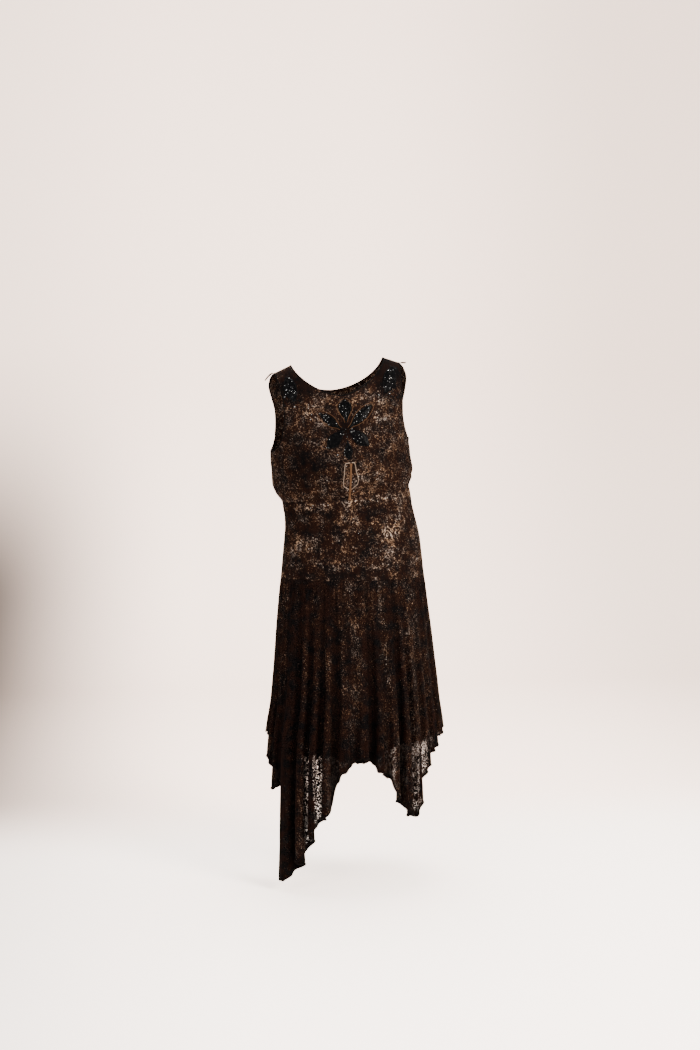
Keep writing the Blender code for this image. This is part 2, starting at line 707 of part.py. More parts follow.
def halved(grid):
    """The same grid with a point added half-way between each pair of neighbours."""
    rows = np.empty((2 * grid.shape[0] - 1, *grid.shape[1:]))
    rows[::2] = grid
    rows[1::2] = (grid[:-1] + grid[1:]) / 2
    both = np.empty((rows.shape[0], 2 * rows.shape[1] - 1, *rows.shape[2:]))
    both[:, ::2] = rows
    both[:, 1::2] = (rows[:, :-1] + rows[:, 1:]) / 2
    return both


def on_bodice(points, normals):
    """The same points moved along their normals onto the flat facets of the bodice front."""
    moved = [
        bodice_tree.ray_cast(Vector(point + normal * 0.02), Vector(-normal))[0]
        for point, normal in zip(points.reshape(-1, 3), normals.reshape(-1, 3))
    ]
    return np.array(moved, float).reshape(points.shape)


def add_patch(name, x, drop, thickness, material):
    """A raised patch on the bodice front, its face domed and its back just clear of the lace."""
    rows, columns = x.shape
    angle, root = at_place(halved(x), halved(drop))
    normal = surface_normal(angle, root)
    ground = on_bodice(surface(angle, root), normal)
    # The bodice's facets bulge between the patch's points, so the whole patch is raised clear of the
    # highest bulge.
    between = halved(ground[::2, ::2])
    bulge = max(0.0, float(np.max(np.sum((ground - between) * normal, axis=-1))))
    ground = ground[::2, ::2] + normal[::2, ::2] * bulge
    normal = normal[::2, ::2]
    edge = np.minimum(
        np.minimum(np.arange(rows), np.arange(rows)[::-1])[:, None],
        np.minimum(np.arange(columns), np.arange(columns)[::-1])[None, :],
    )
    height = SEAM_GAP + thickness * np.where(edge > 0, 1.0, 0.45)
    outer = (ground + normal * height[..., None]).reshape(-1, 3)
    inner = (ground + normal * SEAM_GAP).reshape(-1, 3)
    index = np.arange(rows * columns).reshape(rows, columns)
    points, faces = walled(outer, inner, grid_faces(index))
    add_object(name, points, faces, material)


def leaf_spots(base, tip, width, rows=7, columns=5, fullest=0.55):
    """A grid over a leaf from its base to its tip: widest past the middle, and closed to a narrow end."""
    base, tip = np.array(base), np.array(tip)
    length = np.hypot(*(tip - base))
    along = (tip - base) / length
    across = np.array([-along[1], along[0]])
    run = np.linspace(0.0, 1.0, rows)
    swell = np.sin(math.pi * run ** (math.log(0.5) / math.log(fullest))) ** 0.8
    half = np.maximum(0.5 * width * swell, 0.12 * width)
    spread = np.linspace(-1.0, 1.0, columns)
    x = base[0] + along[0] * length * run[:, None] + across[0] * half[:, None] * spread[None, :]
    drop = base[1] + along[1] * length * run[:, None] + across[1] * half[:, None] * spread[None, :]
    return x, drop


# The beaded leaves and drops on the bodice front: base and tip as distance to the side and drop, and width.
Leaf = namedtuple("Leaf", "name base tip width fullest")
LEAVES = (
    Leaf("bead_leaf_upper_right", (-0.010, 0.167), (-0.058, 0.127), 0.020, 0.52),
    Leaf("bead_leaf_upper_left", (0.016, 0.168), (0.074, 0.118), 0.024, 0.55),
    Leaf("bead_leaf_lower_right", (-0.002, 0.174), (-0.041, 0.215), 0.032, 0.56),
    Leaf("bead_leaf_lower_left", (0.017, 0.176), (0.063, 0.217), 0.032, 0.56),
    Leaf("bead_drop", (0.009, 0.200), (0.012, 0.248), 0.022, 0.60),
    Leaf("neck_tablet", (0.007, 0.152), (0.005, 0.100), 0.034, 0.64),
    Leaf("shoulder_leaf_right", (-0.117, 0.092), (-0.136, 0.024), 0.031, 0.50),
    Leaf("shoulder_leaf_left", (0.114, 0.092), (0.140, 0.020), 0.036, 0.50),
)


def add_beadwork():
    for leaf in LEAVES:
        x, drop = leaf_spots(leaf.base, leaf.tip, leaf.width, fullest=leaf.fullest)
        add_patch(leaf.name, x, drop, APPLIQUE_THICKNESS, jet_material)


# The copper braid under the beadwork: how far the long vase outline reaches to the wearer's right and
# to the left of its bar at each drop.
VaseRow = namedtuple("VaseRow", "drop right left")
VASE = (
    VaseRow(0.257, 0.0145, 0.0095),
    VaseRow(0.281, 0.0160, 0.0140),
    VaseRow(0.304, 0.0180, 0.0200),
    VaseRow(0.312, 0.0180, 0.0165),
    VaseRow(0.320, 0.0090, 0.0075),
)
VASE_MIDDLE = 0.0165
VASE_BRAID = 0.0026
BAR_WIDTH = 0.006
BAR_FROM, BAR_TO = 0.258, 0.336


def add_vase_braid():
    """Two curved strips of copper braid for the sides of the vase, and the bar down its middle."""
    drops = np.linspace(VASE[0].drop, VASE[-1].drop, 9)
    for side, way in (("right", -1), ("left", 1)):
        name = "vase_braid_" + side
        halves = smooth_through(column(VASE, "drop"), column(VASE, side), drops)
        inner_edge = VASE_MIDDLE + way * (halves - VASE_BRAID / 2)
        outer_edge = VASE_MIDDLE + way * (halves + VASE_BRAID / 2)
        x = np.stack([inner_edge, (inner_edge + outer_edge) / 2, outer_edge], axis=1)
        add_patch(name, x, np.repeat(drops[:, None], 3, axis=1), APPLIQUE_THICKNESS * 0.6, copper_material)
    run = np.linspace(BAR_FROM, BAR_TO, 7)
    half = np.where(run < VASE[-1].drop, BAR_WIDTH / 2, BAR_WIDTH / 4)
    x = VASE_MIDDLE + half[:, None] * np.array([-1.0, 0.0, 1.0])[None, :]
    add_patch("vase_bar", x, np.repeat(run[:, None], 3, axis=1), APPLIQUE_THICKNESS * 0.6, copper_material)


for old in list(bpy.data.objects):
    bpy.data.objects.remove(old)

dress = bpy.data.objects.new("dress", None)
bpy.context.scene.collection.objects.link(dress)

lace_material = finish_material("black_copper_lace", (0.030, 0.017, 0.012), 0.55, 0.2)
slip_material = finish_material("dark_slip", (0.022, 0.014, 0.012), 0.7)
binding_material = finish_material("black_binding", (0.012, 0.010, 0.010), 0.6)
edging_material = finish_material("black_hem_cord", (0.014, 0.010, 0.009), 0.6)
jet_material = finish_material("jet_beads", (0.008, 0.009, 0.011), 0.15)
copper_material = finish_material("copper_braid", (0.42, 0.20, 0.09), 0.4, 0.8)

add_bodice()
bodice_front = bpy.data.objects["bodice_front"].data
bodice_tree = BVHTree.FromPolygons(
    [vertex.co for vertex in bodice_front.vertices],
    [tuple(face.vertices) for face in bodice_front.polygons],
)
add_hip_band()
add_skirt()
add_underslip()
add_neck_binding()
add_armhole_bindings()
add_shoulder_ends()
add_hem_edging()
add_beadwork()
add_vase_braid()
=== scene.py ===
import json
import math

import bpy
import numpy as np
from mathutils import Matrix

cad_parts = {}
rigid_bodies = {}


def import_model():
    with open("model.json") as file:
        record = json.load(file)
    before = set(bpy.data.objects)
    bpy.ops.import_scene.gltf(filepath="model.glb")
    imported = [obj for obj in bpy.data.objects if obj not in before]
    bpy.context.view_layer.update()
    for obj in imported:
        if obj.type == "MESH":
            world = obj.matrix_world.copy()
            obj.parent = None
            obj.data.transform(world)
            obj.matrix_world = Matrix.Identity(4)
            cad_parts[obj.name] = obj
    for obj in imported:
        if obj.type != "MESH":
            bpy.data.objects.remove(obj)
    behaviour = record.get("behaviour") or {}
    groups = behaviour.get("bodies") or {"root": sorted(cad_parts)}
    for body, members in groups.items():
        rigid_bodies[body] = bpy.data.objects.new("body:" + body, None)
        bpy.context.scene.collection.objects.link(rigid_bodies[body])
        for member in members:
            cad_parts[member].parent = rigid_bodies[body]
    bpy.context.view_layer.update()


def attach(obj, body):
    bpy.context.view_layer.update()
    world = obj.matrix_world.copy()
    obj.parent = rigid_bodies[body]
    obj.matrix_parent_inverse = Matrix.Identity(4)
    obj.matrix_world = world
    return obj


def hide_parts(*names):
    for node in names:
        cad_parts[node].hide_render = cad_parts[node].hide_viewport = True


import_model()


# Tables: a dictionary of columns, from the columns' names and the rows.
def table(names, rows):
    return dict(zip(names.split(), (np.array(column, float) for column in zip(*rows))))


# The cut of the dress, in metres. Drops run down from the shoulder line, and angles round from the front.
cut = dict(
    wall=0.0012, seamGap=0.0003, neckHalfWidth=0.121, frontNeckDepth=0.089, backNeckDepth=0.074,
    frontRoundness=1.5, backRoundness=1.8, shoulderSlope=0.40, shoulderFade=0.20, armholeDepth=0.215,
    armEdgeShift=0.009, waistSeam=0.343, hipSeam=0.552, slipLength=0.945, slipDip=0.035, slipDipAngle=-38.0,
    slipClear=0.00199, slipWall=0.0008, slipFold=0.0040, fluteDepth=0.036, fluteFullDrop=1.10,
    fluteSteepness=0.55, strapStart=0.44,
)

sections = table("drop centre halfWidth frontDepth backDepth lean", (
    (0.0, 0.0, 0.186, 0.0, 0.0, 0.088), (0.01, 0.0, 0.186, 0.034, 0.032, 0.088),
    (0.03, 0.0, 0.185, 0.058, 0.055, 0.088), (0.06, 0.0, 0.183, 0.078, 0.073, 0.088),
    (0.1, 0.001, 0.181, 0.096, 0.088, 0.088), (0.15, 0.002, 0.178, 0.113, 0.099, 0.088),
    (0.2, 0.006, 0.18, 0.125, 0.106, 0.09), (0.255, 0.01, 0.18, 0.131, 0.11, 0.1),
    (0.295, 0.015, 0.182, 0.128, 0.112, 0.114), (0.315, 0.018, 0.178, 0.122, 0.11, 0.12),
    (0.343, 0.023, 0.165, 0.11, 0.104, 0.122), (0.385, 0.03, 0.166, 0.111, 0.108, 0.096),
    (0.459, 0.039, 0.177, 0.119, 0.122, 0.03), (0.552, 0.041, 0.187, 0.128, 0.133, 0.0),
    (0.66, 0.043, 0.2005, 0.14, 0.146, 0.0), (0.768, 0.046, 0.211, 0.152, 0.158, 0.0),
    (0.871, 0.048, 0.222, 0.164, 0.17, 0.0), (0.954, 0.047, 0.233, 0.173, 0.181, 0.0),
    (1.05, 0.046, 0.238, 0.18, 0.189, 0.0), (1.33, 0.046, 0.246, 0.188, 0.198, 0.0),
))

# The armholes' edges, from the side seam up to the shoulder.
frontArmEdge = table("drop halfWidth", (
    (0.215, 0.177), (0.209, 0.17), (0.193, 0.161), (0.165, 0.1545), (0.13, 0.1515), (0.09, 0.152),
    (0.05, 0.1545), (0.015, 0.158), (0.0, 0.16),
))
backArmEdge = table("drop halfWidth", (
    (0.215, 0.177), (0.207, 0.1715), (0.185, 0.165), (0.15, 0.162), (0.11, 0.164), (0.065, 0.1715),
    (0.03, 0.1765), (0.008, 0.17), (0.0, 0.16),
))

# The valleys between the skirt's flutes: where each lies, and its share of the full depth.
valleys = table("angle depth", (
    (-178, 0.75), (-165, 0.9), (-152, 0.65), (-139.5, 0.95), (-127.5, 0.65), (-115, 0.6), (-105, 0.75),
    (-95, 0.5), (-84, 0.55), (-73.5, 0.6), (-64.5, 0.5), (-49, 0.95), (-39, 0.9), (-29.5, 0.9),
    (-19.5, 0.85), (-6, 0.45), (5.5, 0.95), (15, 0.5), (26, 0.95), (34.6, 0.75), (43.5, 0.45), (53, 0.45),
    (65, 0.55), (78, 0.6), (91, 0.7), (104, 0.9), (117, 0.65), (130, 0.95), (143, 0.7), (156, 0.85),
    (169, 0.65),
))

# The handkerchief hem's drop round the dress.
hemLine = table("angle drop", (
    (-180, 1.085), (-165, 1.068), (-150, 1.06), (-136, 1.084), (-121, 1.134), (-111, 1.05), (-101, 0.965),
    (-92, 0.95), (-80, 0.956), (-71.5, 0.962), (-69, 1.02), (-64, 1.08), (-61, 1.208), (-59, 1.322),
    (-55, 1.316), (-51, 1.298), (-46, 1.272), (-42, 1.25), (-39.5, 1.232), (-35, 1.184), (-32, 1.173),
    (-28.5, 1.158), (-25, 1.142), (-21.5, 1.124), (-19, 1.062), (-15, 1.04), (-11, 1.022), (-6.5, 1.006),
    (-2, 0.994), (3, 0.998), (8, 1.024), (14, 1.044), (18.5, 1.06), (21, 1.092), (25.5, 1.118),
    (29.5, 1.136), (33, 1.153), (36, 1.16), (39, 1.13), (43, 1.082), (47, 1.04), (52, 1.017), (56, 0.998),
    (64, 0.972), (85, 0.955), (105, 0.985), (125, 1.02), (145, 1.04), (164, 1.092), (180, 1.085),
))

# Soft creases of the bodice and hip band: middle, reach, slope and depth. The first are also in the solids.
creases = table("angle drop angleReach dropReach slope depth", (
    (-62, 0.283, 26, 0.01, -0.1, 0.004), (66, 0.29, 24, 0.009, 0.12, 0.005),
    (-70, 0.245, 20, 0.012, 0.14, 0.0035), (58, 0.243, 26, 0.01, -0.08, 0.003),
    (-32, 0.308, 18, 0.01, 0.04, 0.0025), (34, 0.312, 20, 0.01, 0.02, 0.0025),
    (-48, 0.395, 22, 0.012, 0.16, 0.003), (52, 0.385, 24, 0.011, -0.14, 0.0035),
    (-140, 0.3, 26, 0.011, 0.08, 0.004), (148, 0.305, 26, 0.011, -0.06, 0.004),
    (170, 0.255, 30, 0.014, 0.05, 0.003), (-165, 0.392, 28, 0.012, 0.1, 0.003),
    (-20, 0.3, 11, 0.006, 0.3, 0.0016), (12, 0.318, 13, 0.006, -0.25, 0.0015),
    (-75, 0.315, 14, 0.007, 0.3, 0.0022), (76, 0.318, 15, 0.007, -0.3, 0.0024),
    (40, 0.268, 15, 0.007, 0.28, 0.002), (-44, 0.262, 16, 0.007, -0.2, 0.0018),
    (70, 0.222, 14, 0.008, -0.6, 0.003), (-72, 0.226, 13, 0.008, 0.55, 0.0026),
    (48, 0.176, 7, 0.024, 0.9, 0.0016), (-50, 0.18, 7, 0.024, -0.9, 0.0014),
    (24, 0.365, 16, 0.007, 0.2, 0.002), (-18, 0.372, 15, 0.007, -0.22, 0.0018),
    (66, 0.422, 17, 0.009, -0.2, 0.0022), (-70, 0.43, 17, 0.009, 0.22, 0.002),
    (8, 0.436, 20, 0.01, 0.1, 0.0014), (132, 0.225, 14, 0.01, 0.4, 0.0028),
    (-128, 0.228, 13, 0.01, -0.4, 0.0026), (158, 0.34, 18, 0.007, 0.2, 0.0022),
    (-150, 0.352, 17, 0.007, -0.18, 0.0022), (176, 0.15, 10, 0.03, 0.4, 0.0015),
))

# The beaded leaves on the front: base and tip as distance to the side and drop, width, and fullest place.
leaves = (
    ("bead_leaf_upper_right", (-0.010, 0.167), (-0.058, 0.127), 0.020, 0.52),
    ("bead_leaf_upper_left", (0.016, 0.168), (0.074, 0.118), 0.024, 0.55),
    ("bead_leaf_lower_right", (-0.002, 0.174), (-0.041, 0.215), 0.032, 0.56),
    ("bead_leaf_lower_left", (0.017, 0.176), (0.063, 0.217), 0.032, 0.56),
    ("bead_drop", (0.009, 0.200), (0.012, 0.248), 0.022, 0.60),
    ("neck_tablet", (0.007, 0.152), (0.005, 0.100), 0.034, 0.64),
    ("shoulder_leaf_right", (-0.117, 0.092), (-0.136, 0.024), 0.031, 0.50),
    ("shoulder_leaf_left", (0.114, 0.092), (0.140, 0.020), 0.036, 0.50),
)

# The vase outline under the beadwork: its reach from the bar on the wearer's right and left at each drop,
# closed by a cap at the top and by two slanting ends at the foot.
vase = table("rightReach rightDrop leftReach leftDrop", (
    (0.002, 0.2562, 0.002, 0.2562), (0.012, 0.2566, 0.008, 0.2564), (0.0146, 0.26, 0.01, 0.26),
    (0.016, 0.281, 0.014, 0.281), (0.0178, 0.302, 0.0196, 0.302), (0.0174, 0.311, 0.018, 0.311),
    (0.011, 0.3175, 0.0105, 0.318), (0.003, 0.323, 0.003, 0.3235),
))

# Patches of the front with more or less copper thread: bells placed one by one, as the windows are.
patches = table("x xReach drop dropReach amount", (
    (0.103, 0.022, 0.111, 0.014, 0.5), (-0.092, 0.02, 0.123, 0.017, 0.46),
    (-0.027, 0.01, 0.1, 0.006, 0.35), (0.03, 0.01, 0.104, 0.006, 0.3), (0.121, 0.02, 0.152, 0.01, 0.2),
    (0.105, 0.014, 0.2, 0.02, 0.25), (0.103, 0.02, 0.245, 0.012, 0.15), (0.085, 0.045, 0.3, 0.045, 0.15),
    (-0.079, 0.04, 0.26, 0.05, -0.3), (-0.118, 0.03, 0.2, 0.04, -0.15),
    (0.007, 0.034, 0.172, 0.026, -0.9), (0.118, 0.044, 0.036, 0.042, -0.85),
    (-0.11, 0.04, 0.046, 0.036, -0.7), (0.147, 0.01, 0.4, 0.03, 0.5), (0.121, 0.03, 0.439, 0.017, 0.6),
    (0.11, 0.016, 0.493, 0.01, 0.35), (-0.072, 0.014, 0.468, 0.022, 0.5),
    (-0.108, 0.016, 0.456, 0.02, 0.45), (0.017, 0.014, 0.371, 0.017, 0.4),
    (0.137, 0.005, 0.361, 0.005, 0.6), (0.085, 0.005, 0.519, 0.005, 0.7),
    (0.027, 0.008, 0.561, 0.005, 0.5), (0.199, 0.008, 0.549, 0.012, 0.3), (0.04, 0.2, 0.53, 0.018, -0.14),
    (0.025, 0.01, 0.659, 0.03, 0.3), (0.103, 0.012, 0.737, 0.04, 0.36),
    (0.113, 0.005, 0.815, 0.016, 0.55), (0.015, 0.008, 0.89, 0.07, 0.3), (0.194, 0.01, 0.9, 0.07, 0.3),
    (-0.052, 0.006, 0.76, 0.09, 0.24), (0.135, 0.016, 1.105, 0.02, 0.5), (0.075, 0.014, 0.625, 0.03, 0.2),
    (0.142, 0.01, 0.99, 0.04, 0.22), (0.086, 0.006, 0.93, 0.06, 0.22), (-0.01, 0.006, 0.7, 0.07, 0.18),
    (0.165, 0.008, 0.69, 0.06, 0.2),
))

# Where the net opens below the slip: a bell round each place, and how open it is there.
windows = table("angle angleReach drop dropReach amount", (
    (43.5, 7.5, 1.0, math.inf, 0.72), (-37.5, 2.6, 1.0, math.inf, 1.0), (34.0, 6.0, 1.138, 0.018, 0.5),
    (-31.2, 1.7, 1.0, math.inf, 1.0), (19, 1.8, 1.0, math.inf, 0.35), (-151, 4.5, 1.0, math.inf, 0.9),
    (-159, 3.0, 1.0, math.inf, 0.9), (111, 10, 1.0, math.inf, 0.9),
))


# Sum of the bells of a table at each point: its amount times e to minus both distances squared.
def bells(places, across, down):
    total = np.zeros(np.shape(across))
    for middle, reach, level, downReach, amount in zip(*places.values()):
        total += amount * np.exp(-(((across - middle) / reach) ** 2) - ((down - level) / downReach) ** 2)
    return total


# Curve through the values without overshoot: cubic pieces whose slopes are the neighbours' harmonic means.
def smoothThrough(positions, values, wanted):
    positions, values = np.asarray(positions, float), np.asarray(values, float)
    widths = np.diff(positions)
    rises = np.diff(values) / widths
    slopes = np.zeros(len(values))
    sameWay = rises[:-1] * rises[1:] > 0
    leftWeight, rightWeight = 2 * widths[1:] + widths[:-1], widths[1:] + 2 * widths[:-1]
    left, right = np.where(sameWay, rises[:-1], 1.0), np.where(sameWay, rises[1:], 1.0)
    harmonic = (leftWeight + rightWeight) / (leftWeight / left + rightWeight / right)
    slopes[1:-1] = np.where(sameWay, harmonic, 0.0)
    slopes[0], slopes[-1] = rises[0], rises[-1]
    wanted = np.clip(np.asarray(wanted, float), positions[0], positions[-1])
    piece = np.clip(np.searchsorted(positions, wanted, side="right") - 1, 0, len(widths) - 1)
    width = widths[piece]
    t = (wanted - positions[piece]) / width
    start = (1 + 2 * t) * (1 - t) ** 2 * values[piece] + t * (1 - t) ** 2 * width * slopes[piece]
    end = t * t * (3 - 2 * t) * values[piece + 1] + t * t * (t - 1) * width * slopes[piece + 1]
    return start + end


# 0 below 0 and 1 above 1, with three squares less two cubes between.
def smoothStep(value):
    value = np.clip(value, 0.0, 1.0)
    return value * value * (3 - 2 * value)


# The same angle from -180 to 180 degrees.
def wrapped(angle):
    return (np.asarray(angle, float) + 180.0) % 360.0 - 180.0


# A named size at a drop, read along the root of the drop, in which the shoulder is round.
def sectionValue(name, drop):
    return smoothThrough(np.sqrt(sections["drop"]), sections[name], np.sqrt(drop))


# A column of the valleys closed to a ring, with its ends repeated one turn on.
def valleyRing(name, turn):
    values = valleys[name]
    return np.concatenate([[values[-1] - turn], values, values[:2] + turn])


# Turns round the flutes at an angle: whole numbers in the valleys.
def flutePhase(angle):
    ring = valleyRing("angle", 360.0)
    return smoothThrough(ring, np.arange(-1.0, len(ring) - 1.0), wrapped(angle))


# Angles spaced evenly in turns of the flutes, this many to a flute.
def fluteAngles(perFlute):
    ring = valleyRing("angle", 360.0)
    turns = np.arange(len(valleys["angle"]) * perFlute) / perFlute
    return smoothThrough(np.arange(-1.0, len(ring) - 1.0), ring, turns)


# Depth of the nearest valleys: their share of the full depth, growing as a power of the drop from the seam.
def fluteDepth(angle, drop):
    share = smoothThrough(valleyRing("angle", 360.0), valleyRing("depth", 0.0), wrapped(angle))
    grown = np.clip((drop - cut["hipSeam"]) / (cut["fluteFullDrop"] - cut["hipSeam"]), 0.0, 1.35)
    return cut["fluteDepth"] * share * grown**1.15


# The hem's drop at an angle, with small scallops between the stitches of its cord.
def hemDrop(angle):
    drop = smoothThrough(hemLine["angle"], hemLine["drop"], wrapped(angle))
    return drop - 0.0030 * np.abs(np.sin(math.pi * wrapped(angle) / 3.1))


# Smooth noise: random heights on a ring lattice, blended by smooth steps between the four nearest.
def softNoise(across, down, seed, period=None):
    lattice = np.random.default_rng(seed).uniform(-1.0, 1.0, (256, 256))
    column, row = np.floor(across).astype(int), np.floor(down).astype(int)
    right, lower = smoothStep(across - column), smoothStep(down - row)
    columns = 256 if period is None else period
    a, b = column % columns, (column + 1) % columns
    top = lattice[row % 256, a] * (1 - right) + lattice[row % 256, b] * right
    bottom = lattice[(row + 1) % 256, a] * (1 - right) + lattice[(row + 1) % 256, b] * right
    return top * (1 - lower) + bottom * lower


# Push of the creases: each a bell across and along, leaning by its slope.
def creasePush(angle, drop):
    push = np.zeros(np.broadcast(angle, drop).shape)
    for middle, level, angleReach, dropReach, slope, depth in zip(*creases.values()):
        across = wrapped(angle - middle) / angleReach
        along = (drop - level - slope * across * angleReach / 100) / dropReach
        push += depth * np.exp(-(across**2) - along**2)
    return push


# Uneven small folds of the skirt: ridges within each flute, deeper towards the hem, and fans at the seam.
def smallFolds(angle, drop):
    fold = dict(ridge=0.0016, ridgeOver=0.30, fan=0.0010, fanDrop=0.03, fanReach=0.07, ripple=0.0030,
                rippleReach=0.13, wander=0.35)
    phase = flutePhase(angle)
    grown = smoothStep((drop - cut["hipSeam"]) / fold["ridgeOver"])
    wander = fold["wander"] * softNoise(phase, drop * 5, 11, 31)
    ridges = np.sin(2 * math.pi * (2 * phase + wander))
    ridges = ridges * (0.6 + 0.4 * softNoise(phase * 2, drop * 7, 12, 62))
    below = drop - cut["hipSeam"]
    fans = np.exp(-(((below - fold["fanDrop"]) / fold["fanReach"]) ** 2))
    fans = np.sin(2 * math.pi * (3 * phase + 2 * wander)) * fans
    fans = fans * smoothStep(below / 0.02)
    hem = smoothThrough(hemLine["angle"], hemLine["drop"], wrapped(angle))
    nearHem = smoothStep((drop - hem + fold["rippleReach"]) / fold["rippleReach"])
    ripple = np.sin(2 * math.pi * (3.0 * phase + 0.6 * wander)) * nearHem
    return fold["ridge"] * ridges * grown + fold["fan"] * fans + fold["ripple"] * ripple


# A point of the cloth's outer face: a leaning oval ring, pushed in by flutes, creases and small folds.
def surface(angle, root, sink=0.0):
    angle, root = np.asarray(angle, float), np.asarray(root, float)
    drop = root * root
    turn = np.radians(angle)
    depth = np.where(np.cos(turn) > 0, sectionValue("frontDepth", drop), sectionValue("backDepth", drop))
    depth = depth * np.where(root < 0, -1.0, 1.0)
    phase = 2 * math.pi * flutePhase(angle)
    flute = fluteDepth(angle, drop)
    inward = flute * (0.5 + 0.5 * np.cos(phase)) ** 1.15 + creasePush(angle, drop) + sink
    inward = inward + smallFolds(angle, drop)
    sideways = flute * cut["fluteSteepness"] * 0.25 * np.sin(2 * phase)
    x = sectionValue("centre", drop) + (sectionValue("halfWidth", drop) - inward) * np.sin(turn)
    x = x + sideways * np.cos(turn)
    y = -depth * np.cos(turn) + inward * np.cos(turn) + sideways * np.sin(turn)
    shoulder = -cut["shoulderSlope"] * np.maximum(np.abs(x) - cut["neckHalfWidth"], 0.0)
    shoulder = shoulder * (1 - smoothStep(drop / cut["shoulderFade"]))
    z = -drop + shoulder + sectionValue("lean", drop) * x
    return np.stack(np.broadcast_arrays(x, y, z), axis=-1)


# The outward normal: the cross product of small steps down and around.
def surfaceNormal(angle, root):
    angle, root = np.asarray(angle, float), np.asarray(root, float)
    around = surface(angle + 0.05, root) - surface(angle - 0.05, root)
    down = surface(angle, root + 0.0005) - surface(angle, root - 0.0005)
    normal = np.cross(down, around)
    return normal / np.linalg.norm(normal, axis=-1, keepdims=True)


# The angle at which the dress is this far to the side: the arc sine of its share of the half width.
def angleAt(halfDistance, drop):
    return np.degrees(np.arcsin(np.clip(halfDistance / sectionValue("halfWidth", drop), -1.0, 1.0)))


# A side seam's angle: half a seam gap short of the side.
def seamAngle(drop):
    return 90.0 - np.degrees(0.5 * cut["seamGap"] / np.maximum(sectionValue("frontDepth", drop), 0.01))


# Half a neckline, from its lowest point to the shoulder: a rounded curve of powers of sine and cosine.
def neckline(share, front):
    depth = cut["frontNeckDepth"] if front else cut["backNeckDepth"]
    power = 2 / (cut["frontRoundness"] if front else cut["backRoundness"])
    turn = np.asarray(share, float) * math.pi / 2
    drop = np.where(share >= 1.0, 0.0, depth * np.cos(turn) ** power)
    return angleAt(cut["neckHalfWidth"] * np.sin(turn) ** power, drop), np.sqrt(drop)


# An armhole's edge, from the side seam to the shoulder, by its share of the edge's length. Way is 1 or -1.
def armEdge(share, front, way):
    edge = frontArmEdge if front else backArmEdge
    length = np.concatenate([[0.0], np.cumsum(np.hypot(np.diff(edge["drop"]), np.diff(edge["halfWidth"])))])
    drop = np.maximum(smoothThrough(length / length[-1], edge["drop"], share), 0.0)
    half = smoothThrough(length / length[-1], edge["halfWidth"], share)
    half = half + way * cut["armEdgeShift"] * np.sin(math.pi * np.clip(share, 0.0, 1.0))
    angle = np.where(share <= 0.0, seamAngle(drop), angleAt(half, drop))
    return np.minimum(angle, seamAngle(drop)), np.sqrt(drop)


# Linear value of an sRGB hex colour: the standard curve on each channel.
def rgba(hexColour):
    channels = np.array([int(hexColour[n:n + 2], 16) for n in (1, 3, 5)]) / 255
    linear = np.where(channels <= 0.04045, channels / 12.92, ((channels + 0.055) / 1.055) ** 2.4)
    return (*linear.tolist(), 1.0)


# Sets a node's inputs by name: plain values are set, and sockets are linked.
def setInputs(material, node, inputs):
    for name, value in inputs.items():
        if isinstance(value, bpy.types.NodeSocket):
            material.node_tree.links.new(value, node.inputs[name])
        else:
            node.inputs[name].default_value = value


# One node with its inputs and settings: gives back one of its outputs, or all of them for None.
def addNode(material, kind, inputs, output=0, **settings):
    node = material.node_tree.nodes.new("ShaderNode" + kind)
    for name, value in settings.items():
        setattr(node, name, value)
    setInputs(material, node, inputs)
    return node.outputs if output is None else node.outputs[output]


# Arithmetic on numbers or on vectors in one node.
def maths(material, operation, *values, **settings):
    return addNode(material, "Math", dict(enumerate(values)), operation=operation, **settings)


def vectorMaths(material, operation, *values):
    return addNode(material, "VectorMath", dict(enumerate(values)), operation=operation)


# A vector or colour times a number.
def scaled(material, vector, factor):
    return addNode(material, "VectorMath", {0: vector, "Scale": factor}, operation="SCALE")


# A value moved from one range to another, in proportion, and kept inside it.
def ranged(material, value, low, high, least=0.0, most=1.0, **settings):
    inputs = {"Value": value, "From Min": low, "From Max": high, "To Min": least, "To Max": most}
    return addNode(material, "MapRange", inputs, **settings)


# Two colours mixed: the first for a share of 0, the second for a share of 1.
def mixed(material, share, first, second):
    return addNode(material, "MixRGB", {"Fac": share, "Color1": first, "Color2": second})


# A new material with nodes, and its main shader.
def newMaterial(name):
    material = bpy.data.materials.new(name)
    material.use_nodes = True
    return material, material.node_tree.nodes["Principled BSDF"]


# Adds a mesh object: points, quads or triangles, smooth shading and named vertex values.
def addMesh(name, points, faces, material, values=None, smooth=True):
    mesh = bpy.data.meshes.new(name)
    mesh.from_pydata(np.asarray(points, float).tolist(), [], [list(face) for face in faces])
    mesh.polygons.foreach_set("use_smooth", [smooth] * len(mesh.polygons))
    for key, data in (values or {}).items():
        data = np.asarray(data, float)
        kind = "FLOAT_VECTOR" if data.ndim == 2 else "FLOAT"
        layer = mesh.attributes.new(key, kind, "POINT")
        layer.data.foreach_set("vector" if data.ndim == 2 else "value", data.ravel())
    mesh.materials.append(material)
    mesh.update()
    piece = bpy.data.objects.new(name, mesh)
    bpy.context.scene.collection.objects.link(piece)
    return piece


# Puts a piece on the dress: it rides on the body and stands for its node.
def dress(piece, slotName, *nodes):
    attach(piece, "root")
    if nodes:
        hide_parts(*nodes)
    return piece


# Quads of a grid of point numbers, rows running down and columns to the right.
def gridQuads(index):
    quads = np.stack([index[:-1, :-1], index[1:, :-1], index[1:, 1:], index[:-1, 1:]], axis=-1)
    return quads.reshape(-1, 4)


